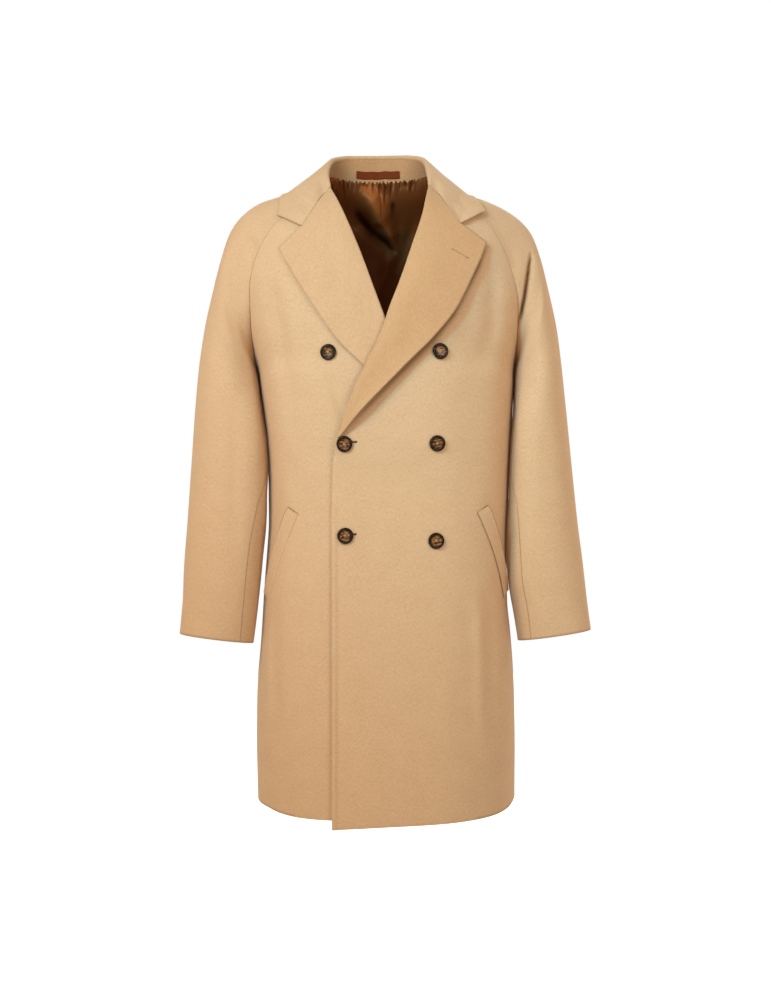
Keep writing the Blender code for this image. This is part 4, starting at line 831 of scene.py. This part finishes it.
def collar_half(side):
    """From under the fold, round it and down to the outer edge, with its front end sewn to the lapel."""
    stations = COLLAR_STATIONS
    fold, edge = collar_line("fold", side, stations), collar_edge(side, stations)
    up = edge - fold
    tangent = unit(np.gradient(fold, axis=0))
    face_out = np.cross(tangent, up)
    face_out = unit(np.where(face_out[:, 2:] < 0, -face_out, face_out))
    settled = smoothstep(0, COLLAR_SETTLED, stations)
    radius = LAPEL_ROLL[side] + (COLLAR_ROLL - LAPEL_ROLL[side]) * settled
    bend = turned_edge(fold, up, face_out, radius)
    top = fold + face_out * (2 * radius - WOOL)[:, None]
    crown = face_out * COLLAR_CROWN * np.linalg.norm(up, axis=-1, keepdims=True)
    fall = hermite(top[:, None], edge[:, None], (up + crown)[:, None], (up - crown)[:, None],
                   np.broadcast_to(ACROSS, (len(stations), len(ACROSS))))
    lift = (2 * radius[0] - WOOL) * (1 - ACROSS) + LAPEL_EDGE_LIFT[side] * ACROSS
    fall += (1 - settled)[:, None, None] * (collar_end(side, lift) - fall[0])
    fall[1:, CORNER // 2:] = clear_of(fall[1:, CORNER // 2:], COLLAR_CLEARANCE)
    grid = np.concatenate([bend, fall], axis=1)
    grid[:, GORGE] += (1 - settled)[:, None, None] * (lapels[side][0, GORGE] - grid[0, GORGE])
    return grid


collar = {side: collar_half(side) for side, hand in HANDS}
wool_piece("collar_fall", round_the_neck(lambda side: drawn_in(collar[side])), 1, TURNED_EDGE_PRESS_AND_SHADE[RIGHT],
           held="folded", flat=(0.56, 0.115), area=0.052)


# Collar stand: the inner band of wool that rises from the neck seam to the fold, stiffened by rows of
# stitching in camel thread.
STAND_START = 0.8
STAND_UP = np.linspace(0, 1, 22)
# How dark painted shade makes the stand towards its ends, and over which distance out from the middle it
# comes in
STAND_SHADE, STAND_CORNERS = 0.9, (0.030, 0.078)


def stand_half(side):
    """From the neck seam up to where the fold starts; the shown face is the one towards the neck."""
    stations = COLLAR_STATIONS[COLLAR_STATIONS >= STAND_START]
    base = collar_line("base", side, stations)
    top = collar[side][COLLAR_STATIONS >= STAND_START, 0]
    return base[:, None] + (top - base)[:, None] * STAND_UP[None, :, None]


stand = round_the_neck(stand_half)
# Painted shade: the stand darkens towards both ends, and is in the over lapel's wool, which is painted
# deeper as shade
stand_end_shade = STAND_SHADE * smoothstep(*STAND_CORNERS, np.abs(stand[..., 0]))
wool_piece("collar_stand", stand, 1, deep=stand_end_shade, material=SHADED_LAPEL_WOOL[LEFT],
           held="folded", flat=(0.40, 0.055), area=0.016)


# Label: a plain strip of woven brown tape with nothing on it, sewn down across the back of the stand, where
# it lies slightly wavy.
LABEL_WIDTH, LABEL_HEIGHT, LABEL_Z, LABEL_GAP, TAPE = 0.070, 0.0118, 0.0445, 0.0005, 0.0008
LABEL_X, LABEL_WAVE, LABEL_WAVES = -0.0036, 0.0006, (210, 83)
LABEL_COLUMNS, LABEL_ROWS = 60, 10


def brown_tape():
    """Ribbed tape with fine ribs across it and slightly uneven dye."""
    material, shader, shade = finish("brown_tape", {"Specular IOR Level": 0.12})
    place = shade.node("TexCoord", output="UV")
    rib = shade.node("TexWave", {"Vector": place, "Scale": 520.0, "Distortion": 0.4}, output=1)
    dye = shade.noise(place, 300.0)
    tone = (rib * 0.4 + dye * 0.6).mixed((0.116, 0.0225, 0.0032), (0.230, 0.0440, 0.0062))
    shade.fill(shader, {"Base Color": tone, "Roughness": dye * 0.2 + 0.55, "Normal": rib.bump(0.4)})
    return material


def label_grid():
    """The strip's shown face, a hair off the stand and slightly wavy."""
    label_x = LABEL_X + np.linspace(-LABEL_WIDTH / 2, LABEL_WIDTH / 2, LABEL_COLUMNS)
    wave = LABEL_WAVE * (1 + np.sin(label_x * LABEL_WAVES[0]) * np.sin(label_x * LABEL_WAVES[1] + 1))
    base, top = stand[::-1, 0], stand[::-1, -1]
    rows = []
    for up in np.linspace(-0.5, 0.5, LABEL_ROWS):
        edge_z = LABEL_Z + up * LABEL_HEIGHT
        line = base + (top - base) * ((edge_z - base[:, 2:]) / (top[:, 2:] - base[:, 2:]))
        on_stand = np.interp(label_x, line[:, 0], line[:, 1])
        rows.append(stack(label_x, on_stand - LABEL_GAP - TAPE - wave, edge_z + wave - LABEL_WAVE))
    return np.stack(rows)


label = label_grid()
sewn(cloth("tape_label", label, np.broadcast_to((0.0, -1.0, 0.0), label.shape), TAPE, brown_tape()),
     "label", "label_tape", held="laid", rests_on=["collar_stand"], flat=(0.070, 0.0118))


# Back lining: dark brown satin, gathered into the neck seam under the stand and hanging loose inside the
# back, with one large tongue of slack at the neck and soft folds below it.
SATIN = 0.0010
LINING_RISE, LINING_NECK_GAP, LINING_DEPTH, NECK_CENTRE_Y = 0.0095, 0.0080, 0.0120, 0.010
LINING_GATHERS, GATHER_DEPTH, GATHER_LENGTH, GATHER_JAG = 19, 0.0034, 0.022, 0.0020
# What makes the gathers uneven: waves across the lining, each with its height, how often it comes and where
# it starts
GATHER_DRIFT, GATHER_SWELL = ((0.9, 3.1, 0.4), (0.7, 11.3, 0)), ((0.35, 17, 0),)
GATHER_REACH, SMALL_GATHERS, SMALL_SHARE, JAGS = ((0.45, 9.7, 1), (0.25, 31, 0)), 2.3, 0.3, 1.7
LINING_LOOSE_Z, NECK_STATIONS = -0.034, (5, 2)
LINING_Z = np.concatenate([np.linspace(0.031, -0.060, 60), np.linspace(-0.060, -0.240, 52)[1:],
                           np.linspace(-0.240, -0.930, 40)[1:]])
LINING_COLUMNS = 221
LINING_FOLDS = [
    [(-0.026, 0.018, 0.011, 0.006), (-0.016, 0.004, 0.015, 0.017), (0, -0.022, 0.016, 0.021),
     (0.017, -0.052, 0.009, 0.014), (0.025, -0.07, 0.005, 0.002)],
    [(-0.052, -0.01, 0.008, -0.002), (-0.034, -0.032, 0.009, -0.007), (-0.011, -0.05, 0.009, -0.007),
     (0.02, -0.076, 0.007, -0.004)],
    [(0.056, -0.026, 0.008, -0.001), (0.05, -0.046, 0.01, -0.004), (0.026, -0.1, 0.01, -0.002)],
    [(0.04, -0.06, 0.008, 0), (0.012, -0.098, 0.01, 0.004), (-0.004, -0.14, 0.012, 0.002)],
    [(-0.02, -0.09, 0.012, 0), (-0.016, -0.16, 0.014, 0.005), (-0.012, -0.26, 0.018, 0)],
    [(0.09, -0.2, 0.02, 0), (0.096, -0.42, 0.03, 0.01), (0.1, -0.8, 0.03, 0.006)],
    [(-0.07, -0.24, 0.02, 0), (-0.078, -0.46, 0.032, 0.011), (-0.085, -0.86, 0.034, 0.006)]]
# Painted light and shade on the satin: where its tongue of slack is left light, and how dark its sharpest
# creases are painted
LINING_TONGUE_LIT = [
    [(-0.022, 0.02, 0.013, 0.9), (-0.012, 0.004, 0.017, 1), (0.002, -0.022, 0.017, 1),
     (0.017, -0.052, 0.01, 0.7), (0.025, -0.07, 0.006, 0.2)]]
LINING_CREASE_SHADE = [
    [(-0.0369, -0.0173, 0.006, 0.4), (-0.0143, -0.0452, 0.0045, 0.9), (0.0102, -0.0616, 0.003, 0.9),
     (0.02, -0.078, 0.002, 0.3)],
    [(0.02, 0.004, 0.004, 0), (0.0198, -0.0042, 0.0045, 0.6), (0.0183, -0.0288, 0.004, 0)]]
# How much painted shade lies on the satin off its tongue, and how far painted shade takes the satin towards
# its dark tone
LINING_SHADE, SATIN_SHADE_SHARE, SATIN_SHADE_TONE = 0.85, 0.8, (0.030, 0.0095, 0.0030)


def brown_satin():
    """Satin: a smooth shine on long fine floats that run down the cloth."""
    material, shader, shade = finish("brown_satin", {"Specular IOR Level": 0.45,
                                                     "Specular Tint": (1.0, 0.52, 0.26, 1)})
    place = shade.node("TexCoord", output="UV")
    floats, cloud = shade.noise(place.stretched(2600, 320, 1), 1.0), shade.noise(place, 60.0)
    tone = (floats * 0.5 + cloud * 0.5).mixed((0.255, 0.071, 0.0150), (0.445, 0.138, 0.0330))
    # Mixed towards a dark tone by the painted shade the mesh carries
    folded = shade.node("Attribute", output=2, attribute_name="pressed_and_shade") * SATIN_SHADE_SHARE
    shade.fill(shader, {"Base Color": folded.mixed(tone, SATIN_SHADE_TONE), "Roughness": floats * 0.16 + 0.34,
                        "Normal": floats.bump(0.15)})
    return material


def waves(rows, at):
    """A sum of waves, each with its height, how often it comes and where it starts."""
    return sum(height * np.sin(often * at + start) for height, often, start in rows)


def lining_grid():
    """The satin from the neck seam to the hem, gathered at the top, and which way it faces."""
    place = np.linspace(-1, 1, LINING_COLUMNS)
    station = NECK_STATIONS[0] + (NECK_STATIONS[1] - NECK_STATIONS[0]) * np.abs(place)
    neck = collar_line("base", np.sign(place), station)
    inward = unit(stack(-neck[:, 0], NECK_CENTRE_Y - neck[:, 1], 0.0))
    neck = neck + inward * LINING_NECK_GAP + np.array((0, 0, LINING_RISE))
    hanging = back_point(place[None, :], LINING_Z[:, None])
    hanging = hanging + normals(hanging, 1) * -LINING_DEPTH
    sewn_in = smoothstep(LINING_LOOSE_Z, LINING_Z[0], LINING_Z)[:, None, None]
    neck = neck + stack(0.0, 0.0, LINING_Z - LINING_Z[0])[:, None]
    grid = hanging * (1 - sewn_in) + neck * sewn_in
    face_out = -normals(grid, 1)
    turn = math.pi * LINING_GATHERS * (place + 1)
    uneven = waves(GATHER_DRIFT, place)
    gather = np.cos(turn + uneven) * (1 + waves(GATHER_SWELL, place))
    gather = GATHER_DEPTH * (gather + SMALL_SHARE * np.cos(SMALL_GATHERS * turn))
    reach = GATHER_LENGTH * (1 + waves(GATHER_REACH, place))
    fade = smoothstep(-1, 0, (LINING_Z[:, None] - LINING_Z[0]) / reach)
    large = 1 - smoothstep(LINING_Z[0] - GATHER_LENGTH, LINING_Z[0], LINING_Z)[:, None]
    rise = gather * fade + folds_on(LINING_FOLDS, grid) * large
    jag = GATHER_JAG * np.sin(JAGS * turn + 2 * uneven) * fade ** 2
    return grid + face_out * rise[..., None] + stack(0.0, 0.0, jag), face_out


lining, lining_out = lining_grid()
# Painted shade over all the satin but its tongue of slack, darker still along its sharpest creases
satin_shade = LINING_SHADE * (1 - folds_on(LINING_TONGUE_LIT, lining)) + folds_on(LINING_CREASE_SHADE, lining)
sewn(cloth("satin_lining_back", lining, lining_out, SATIN, brown_satin(), 1.0, satin_shade),
     "lining_back", "lining_satin", held="gathered", flat=(0.54, 0.98), area=0.46)


# Welts: a doubled strip of wool on each front that slants down and out over the pocket mouth, sewn in along
# its inner edge and at both ends. The inner edge of the wearer's right one is pressed thin and sunk in.
WELT_WIDTH, WELT_LENGTH, WELT_GAP, WELT_STAND = 0.024, 0.155, 0.0003, 0.0026
# Pressing thins the welts' inner edges and sinks the wearer's right one; painted shade darkens their outer
# edges, fading down the wearer's right one
PRESSED_EDGE, PRESSED_TO, EDGE_SHADE_FADES = {LEFT: 0.85, RIGHT: 0.15}, 0.55, (0.15, 0.55)
WELT_SUNK, WELT_SUNK_TO, OUTER_EDGE_SHADE = {LEFT: 0, RIGHT: 0.0008}, 0.12, 1.7
WELT_X, WELT_Z, WELT_SLANT, WELT_RISE = {LEFT: 0.1430, RIGHT: -0.1290}, -0.508, 0.56, 0.52
WELT_ROWS, WELT_COLUMNS, GAPES_BY = 60, 16, 0.2


def front_round(side, x, distance, z):
    """The place s on a front's section at a distance round the body from x, towards the side."""
    line = front_point(side, SECTION, np.full(len(SECTION), z))
    length = np.concatenate([[0], np.cumsum(np.linalg.norm(np.diff(line, axis=0), axis=-1))])
    start = np.interp(side * x, side * line[:, 0], length)
    return np.interp(start + distance, length, SECTION)


def welt_grid(side):
    """Where a welt lies on its front: rows down its length, columns out from its sewn edge."""
    down, across = unit(np.array((WELT_SLANT, -1))), unit(np.array((1, WELT_RISE)))
    length = clustered(WELT_ROWS, WOOL / 2, WELT_LENGTH - WOOL / 2)
    width = clustered(WELT_COLUMNS, WOOL / 2, WELT_WIDTH - WOOL / 2)
    flat = length[:, None, None] * down + width[None, :, None] * across
    points = []
    for distance, drop in flat.reshape(-1, 2):
        z = WELT_Z + drop
        points.append(front_point(side, front_round(side, WELT_X[side], distance, z), np.array(z)))
    return np.array(points).reshape(*flat.shape[:2], 3)


for side, hand in HANDS:
    on_front = welt_grid(side)
    face_out = normals(on_front, -side)
    down, across = np.linspace(0, 1, WELT_ROWS), np.linspace(0, 1, WELT_COLUMNS)
    gape = WELT_STAND * np.outer(smoothstep(0, GAPES_BY, down), across ** 2)
    sunk = WELT_SUNK[side] * (1 - smoothstep(0, WELT_SUNK_TO, across))
    wall = WOOL * (PRESSED_EDGE[side] + (1 - PRESSED_EDGE[side]) * smoothstep(0, PRESSED_TO, across))
    # Painted shade on the welts' edges: the wearer's left one is darkened all round as pressed edges are and
    # most along its outer edge, the wearer's right one only along its top and the upper part of its outer
    # edge
    if side == RIGHT:
        edge_shade = OUTER_EDGE_SHADE * np.outer(1 - smoothstep(*EDGE_SHADE_FADES, down), across > 0)
    else:
        edge_shade = np.where(across > 1 / 2, OUTER_EDGE_SHADE, 1.0)
    shown = on_front + face_out * (WELT_GAP + wall + gape - sunk)[..., None]
    piece = cloth("cloth_welt_" + hand, shown, face_out, wall, wool, edge_shade)
    sewn(piece, "welt_" + hand, "camel_wool", held="laid", rests_on=["front_" + hand], flat=(0.024, 0.155))


# Thread work: rows of stitching along the stand, and worked buttonholes in the left lapel and down the edge
# of the over front, each a slit edged all round with short close stitches.
STAND_ROWS_UP, STAND_ROWS_IN = (0.66, 0.76, 0.86), 14
EYELET_SHARE, EYELET_FROM, THREAD_RISE = 1.6, (0.70, 0.92), 0.0002
SLIT_STEPS, EYELET_STEPS, LIP = 40, 14, 0.0006
LAPEL_HOLE, LAPEL_ENDS = ((0.1102, -0.1036), (0.1335, -0.1170)), (np.s_[:3], np.s_[-4:])
FRONT_HOLES = [((-0.0600, -0.3995), (-0.0400, -0.3990)), ((-0.0600, -0.5400), (-0.0425, -0.5395))]
STITCH = {"path": "Geometry", "step": "Float", "length": "Float", "radius": "Float", "turn": "Float",
          "unevenness": "Float", "seed": "Int", "thread": "Material"}


def thread_finish(name, dark, light):
    """Twisted sewing thread."""
    material, shader, shade = finish(name, {"Sheen Weight": 0.2, "Specular IOR Level": 0.3})
    twist = shade.noise(shade.node("TexCoord", output="Object"), 1500.0)
    shade.fill(shader, {"Base Color": twist.mixed(dark, light), "Roughness": twist * 0.2 + 0.6})
    return material


def stitching_tree():
    """Stitches set along a path: a short fat thread at every step, lying along the path or across it."""
    tree = bpy.data.node_groups.new("stitching", "GeometryNodeTree")
    for name, kind in STITCH.items():
        tree.interface.new_socket(name, in_out="INPUT", socket_type="NodeSocket" + kind)
    tree.interface.new_socket("stitches", in_out="OUTPUT", socket_type="NodeSocketGeometry")
    given = {socket.name: Shade(tree, socket) for socket in tree.nodes.new("NodeGroupInput").outputs}
    new = Shade(tree).node
    path = new("GeometryNodeMeshToCurve", {"Mesh": given["path"]})
    path = new("GeometryNodeResampleCurve", {"Curve": path, "Length": given["step"]}, mode="LENGTH")
    ball = new("GeometryNodeMeshIcoSphere", {"Radius": 0.5, "Subdivisions": 2})
    across = given["radius"] * 2.0
    size = new("CombineXYZ", {"X": given["length"], "Y": across, "Z": across})
    shape = new("GeometryNodeTransform", {"Geometry": ball, "Scale": size})
    heading = new("FunctionNodeAlignRotationToVector", {"Vector": new("GeometryNodeInputTangent")},
                  axis="X", pivot_axis="AUTO")
    wobble = new("FunctionNodeRandomValue", {2: -1.0, 3: 1.0, "Seed": given["seed"]}, 1)
    turn = given["turn"] + wobble * given["unevenness"]
    about = new("FunctionNodeAxisAngleToRotation", {"Axis": (0, 1, 0), "Angle": turn})
    heading = new("FunctionNodeRotateRotation", {"Rotation": about, "Rotate By": heading},
                  rotation_space="GLOBAL")
    laid = new("GeometryNodeInstanceOnPoints", {"Points": path, "Instance": shape, "Rotation": heading})
    real = new("GeometryNodeRealizeInstances", {"Geometry": laid})
    smooth = new("GeometryNodeSetShadeSmooth", {0: real})
    made = new("GeometryNodeSetMaterial", {"Geometry": smooth, "Material": given["thread"]})
    made.fill(tree.nodes.new("NodeGroupOutput"), {0: made})
    return tree


stitching = stitching_tree()


def worked_in(piece):
    """The piece's mesh with what was still to be worked into it."""
    mesh = bpy.data.meshes.new_from_object(piece.evaluated_get(bpy.context.evaluated_depsgraph_get()))
    piece.modifiers.clear()
    piece.data = mesh
    return mesh


def stitched(name, paths, **sizes):
    """Stitches along paths, each a row of points, as one piece."""
    edges, points = [], []
    for path in paths:
        edges += [(len(points) + i, len(points) + i + 1) for i in range(len(path) - 1)]
        points += [tuple(point) for point in path]
    mesh = bpy.data.meshes.new(name + "_path")
    mesh.from_pydata(points, edges, [])
    piece = placed(name, mesh)
    modifier = piece.modifiers.new("stitching", "NODES")
    modifier.node_group = stitching
    for item in stitching.interface.items_tree:
        if item.name in sizes:
            modifier[item.identifier] = sizes[item.name]
    worked_in(piece)
    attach(piece, "root")


camel_thread = thread_finish("camel_thread", (0.42, 0.25, 0.12), (0.60, 0.38, 0.20))
base, top, off_stand = stand[:, 0], stand[:, -1], normals(stand, 1)[:, 0] * THREAD_RISE
stand_rows = [(base + (top - base) * up + off_stand)[STAND_ROWS_IN:-STAND_ROWS_IN] for up in STAND_ROWS_UP]
stitched("stand_stitching", stand_rows, thread=camel_thread, step=0.0042, length=0.0030, radius=0.00028,
         turn=0.0, unevenness=0.06, seed=3)


def laid_on(tree, flat):
    """Places on the cloth straight behind points of a front view, a hair's breadth proud of it."""
    return np.array([behind(tree, x, z)[0] for x, z in flat]) - np.array((0, THREAD_RISE, 0))


def buttonhole(tree, start, end):
    """The way round a buttonhole's lips and the eyelet at its outer end, and the way along its slit."""
    start, end = np.array(start), np.array(end)
    along = unit(end - start)
    square = np.array((-along[1], along[0]))
    t = np.linspace(0, 1, SLIT_STEPS)[:, None]
    slit = start + (end - start) * t
    aside = square * LIP * (1 + (EYELET_SHARE - 1) * smoothstep(*EYELET_FROM, t))
    angles = np.linspace(-math.pi / 2, math.pi / 2, EYELET_STEPS)[1:-1, None]
    turn = end + EYELET_SHARE * LIP * (along * np.cos(angles) + square * np.sin(angles))
    return laid_on(tree, np.concatenate([slit - aside, turn, (slit + aside)[::-1]])), laid_on(tree, slit)


lapel_mesh = lapel_pieces[LEFT].data
over_lapel = BVHTree.FromPolygons([vertex.co for vertex in lapel_mesh.vertices],
                                  [face.vertices for face in lapel_mesh.polygons])
dark_thread = thread_finish("dark_buttonhole_thread", (0.050, 0.022, 0.009), (0.120, 0.055, 0.024))
lapel_lips, lapel_slit = buttonhole(over_lapel, *LAPEL_HOLE)
front_lips, front_slits = zip(*[buttonhole(ground, *hole) for hole in FRONT_HOLES])
lip_stitches = dict(step=0.0008, turn=math.pi / 2, unevenness=0.15, seed=5)
stitched("buttonhole_lapel", [lapel_lips], thread=camel_thread, length=0.0012, radius=0.00024,
         **lip_stitches)
stitched("buttonholes_front", front_lips, thread=dark_thread, length=0.0021, radius=0.00042,
         **lip_stitches)
# A dark cord along each slit, and in both ends of the lapel's one, is painted shade in the open slits
stitched("buttonhole_slit_shade", [*(lapel_slit[end] for end in LAPEL_ENDS), *front_slits], thread=dark_thread,
         step=0.0010, length=0.0022, radius=0.00030, turn=0.0, unevenness=0.08, seed=7)


# Buttons: turned discs of polished dark horn with a raised rim, a lighter dished middle and four holes, sewn
# through the cloth with brown thread.
BUTTON_RADIUS, BUTTON_HEIGHT, HOLE_RADIUS, HOLE_SPREAD, SEAM_GAP = 0.0125, 0.0042, 0.0011, 0.0023, 0.0003
BUTTON_SIDES, HOLE_SIDES, RIM_TESTS, SHARP_ANGLE = 56, 14, 12, math.radians(40)
STRAND, STRAND_SIDES, STRAND_STEPS, STRAND_APART = 0.00042, 7, 9, 0.935
STRANDS, STRAND_ARCH, STRAND_ENDS_IN = (((-1, -1), (1, 1), 0.0006), ((1, -1), (-1, 1), 0.0011)), 0.6, 0.0011
BUTTON = table("station radius height", [
    (0, 0, 0), (1, 0.86, 0), (2, 0.97, 0.12), (3, 1, 0.38), (4, 0.985, 0.68), (5, 0.93, 0.9),
    (6, 0.85, 1), (7, 0.76, 0.97), (8, 0.68, 0.84), (9, 0.62, 0.72), (10, 0.5, 0.67), (11, 0, 0.66)])
BUTTONS = [
    ("button_top_right", RIGHT, -0.0815, -0.2610, 0.3), ("button_top_left", LEFT, 0.0890, -0.2620, 0.9),
    ("button_middle_right", LEFT, -0.0580, -0.4020, 0.1), ("button_middle_left", LEFT, 0.0830, -0.4025, 0.6),
    ("button_low_right", LEFT, -0.0580, -0.5420, 0.75), ("button_low_left", LEFT, 0.0800, -0.5510, 0.2)]


def dark_horn():
    """Horn: nearly black at the rim and brown in the middle, with paler streaks through it, polished."""
    material, shader, shade = finish("polished_dark_horn", {"Specular IOR Level": 0.12,
                                                            "Coat Roughness": 0.12, "Coat Weight": 0.03})
    place = shade.node("TexCoord", output="UV")
    away = shade.node("VectorMath", {0: place}, output="Value", operation="LENGTH")
    spot = shade.node("TexCoord", output="Object")
    streak = shade.noise(spot.stretched(160, 160, 420), 1.0, 4.0, Distortion=1.5)
    middle, speck = away.ramp(0.50, 0.74, 1.0, 0.0), streak.ramp(0.42, 0.66)
    tone = middle * (speck * 0.95 + 0.05) + (1 - middle) * speck * 0.10
    shade.fill(shader, {"Base Color": tone.mixed((0.007, 0.003, 0.0015), (0.42, 0.175, 0.058)),
                        "Roughness": streak * 0.15 + 0.20, "Normal": streak.bump(0.05)})
    return material


horn = dark_horn()
button_thread = thread_finish("brown_button_thread", (0.30, 0.15, 0.055), (0.62, 0.36, 0.17))


def seat(side, x, z):
    """Where a button lies: turned as the cloth is, and just clear of it under the whole rim."""
    point, face_out = (Vector(vector) for vector in front_at(side, np.array(x), np.array(z)))
    reach = [0]
    for angle in np.linspace(0, 2 * math.pi, RIM_TESTS, endpoint=False):
        rim = behind(ground, x + BUTTON_RADIUS * math.cos(angle), z + BUTTON_RADIUS * math.sin(angle))[0]
        reach.append((rim - point).dot(face_out))
    place = point + face_out * (max(reach) + SEAM_GAP)
    return Matrix.Translation(place) @ face_out.to_track_quat("Z", "Y").to_matrix().to_4x4()


def turned_disc(name, place):
    """A turned button with its four holes, in its place."""
    body = bmesh.new()
    profile = zip(BUTTON["radius"] * BUTTON_RADIUS, BUTTON["height"] * BUTTON_HEIGHT)
    rail = [body.verts.new((radius, 0, height)) for radius, height in profile]
    edges = [body.edges.new(pair) for pair in zip(rail, rail[1:])]
    bmesh.ops.spin(body, geom=rail + edges, cent=(0, 0, 0), axis=(0, 0, 1), angle=2 * math.pi,
                   steps=BUTTON_SIDES, use_merge=True)
    bmesh.ops.remove_doubles(body, verts=body.verts, dist=SEAM_GAP / 10)
    bmesh.ops.recalc_face_normals(body, faces=body.faces)
    drills = bmesh.new()
    for hole in ((-1, -1), (-1, 1), (1, -1), (1, 1)):
        at = Matrix.Translation((hole[0] * HOLE_SPREAD, hole[1] * HOLE_SPREAD, 0))
        bmesh.ops.create_cone(drills, cap_ends=True, segments=HOLE_SIDES, radius1=HOLE_RADIUS,
                              radius2=HOLE_RADIUS, depth=3 * BUTTON_HEIGHT, matrix=at)
    disc, drill = (placed(each, bpy.data.meshes.new(each)) for each in (name, name + "_drill"))
    for shape, item in ((body, disc), (drills, drill)):
        shape.to_mesh(item.data)
        shape.free()
    cut = disc.modifiers.new("holes", "BOOLEAN")
    cut.operation, cut.solver, cut.object = "DIFFERENCE", "EXACT", drill
    bored = worked_in(disc)
    bpy.data.objects.remove(drill)
    lay_flat(bored, "turned", np.array([vertex.co[:2] for vertex in bored.vertices]) / BUTTON_RADIUS)
    bored.transform(place)
    bored.materials.clear()
    bored.materials.append(horn)
    bored.shade_smooth()
    bored.set_sharp_from_angle(angle=SHARP_ANGLE)
    return disc


def sewing(name, place):
    """Thread between the holes of a button: two strands crossing two more, a little slack."""
    points, faces = [], []
    top = BUTTON["height"][-1] * BUTTON_HEIGHT
    for start, end, rise in STRANDS:
        start, end = np.array(start) * HOLE_SPREAD, np.array(end) * HOLE_SPREAD
        along = unit(end - start)
        square = np.array((-along[1], along[0]))
        for beside in (-STRAND_APART, STRAND_APART):
            index = len(points) + np.arange(STRAND_STEPS * STRAND_SIDES).reshape(STRAND_STEPS, STRAND_SIDES)
            for t in np.linspace(0, 1, STRAND_STEPS):
                flat = start + (end - start) * t + square * beside * STRAND
                arch = math.sin(math.pi * t)
                height = top + rise * arch ** STRAND_ARCH - STRAND_ENDS_IN * (1 - arch)
                for angle in np.linspace(0, 2 * math.pi, STRAND_SIDES, endpoint=False):
                    spot = flat + square * STRAND * math.cos(angle)
                    points.append((*spot, height + STRAND * math.sin(angle)))
            faces += quads(np.hstack([index, index[:, :1]])).tolist()
            faces += [index[0, ::-1].tolist(), index[-1].tolist()]
    piece = linked(name, [place @ Vector(point) for point in points], faces, button_thread)
    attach(piece, "root")


for name, side, x, z, twist in BUTTONS:
    place = seat(side, x, z) @ Matrix.Rotation(twist, 4, "Z")
    disc = turned_disc("horn_" + name, place)
    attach(disc, "root")
    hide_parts(name)
    sewing("thread_" + name, place)


# The studio: a wide white floor and backdrop in a room of warm, even light. Soft boxes stand round the coat:
# a warm one high on the left, a cooler one beside it on the upper half alone, weak ones right and behind.
FLOOR_Z, FLOOR_SIZE = -1.55, 9.0
AIR, AIR_COLOUR = 0.635, (1.0, 0.89, 0.77)
BOX_SIZE = 0.5
CAMERA_PLACE, CAMERA_ROLL, LENS = (0.005, -3.2, -0.488), 0.01, 72


def pale_floor():
    """White paper, evenly lit, with hardly any grain."""
    material, shader, shade = finish("pale_floor", {"Roughness": 0.9, "Emission Strength": 0.9,
                                                    "Emission Color": (1, 1, 1, 1)})
    grain = shade.noise(shade.node("TexCoord", output="Object"), 40.0)
    shade.fill(shader, {"Base Color": grain.mixed((0.90, 0.90, 0.90), (0.93, 0.93, 0.93))})
    return material


corners = [(x * FLOOR_SIZE, y * FLOOR_SIZE, FLOOR_Z) for x, y in ((-1, -1), (1, -1), (1, 1), (-1, 1))]
floor = linked("floor", corners, [(0, 1, 2, 3)], pale_floor())
floor.visible_diffuse = floor.visible_glossy = False

world = bpy.data.worlds.new("studio")
world.use_nodes = True
seen = Shade(world.node_tree).node("LightPath", output="Is Camera Ray")
seen.fill(world.node_tree.nodes["Background"], {"Strength": seen * (1 - AIR) + AIR,
                                                "Color": seen.mixed(AIR_COLOUR, (1, 1, 1))})
bpy.context.scene.world = world


def soft_light(name, place, target, spread, power, colour):
    """A soft box aimed at a point of the coat."""
    lamp = bpy.data.lights.new(name, "AREA")
    lamp.shape, lamp.size, lamp.spread = "DISK", BOX_SIZE, math.radians(spread)
    lamp.energy, lamp.color = power, colour
    light = placed(name, lamp)
    light.location = place
    light.rotation_euler = (Vector(target) - Vector(place)).to_track_quat("-Z", "Y").to_euler()


soft_light("main_light", (-1.8, -1.8, 0.9), (0, 0, -0.50), 90, 7.4, (1.0, 0.70, 0.46))
soft_light("upper_light", (-1.25, -2.1, 1.0), (0.21, 0, -0.34), 34, 2.0, (0.24, 0.69, 1.0))
soft_light("back_light", (1.9, 2.2, 0.8), (0, 0, -0.45), 70, 2.6, (1.0, 0.92, 0.82))
soft_light("right_light", (1.3, -1.9, 0.30), (0.12, 0, -0.45), 60, 1.45, (1.0, 0.96, 0.90))

camera = placed("camera", bpy.data.cameras.new("camera"))
camera.data.sensor_fit, camera.data.sensor_height, camera.data.lens = "VERTICAL", 36, LENS
camera.location = CAMERA_PLACE
camera.rotation_euler = (math.pi / 2, CAMERA_ROLL, 0)
bpy.context.scene.camera = camera
bpy.context.scene.view_settings.view_transform = "Standard"
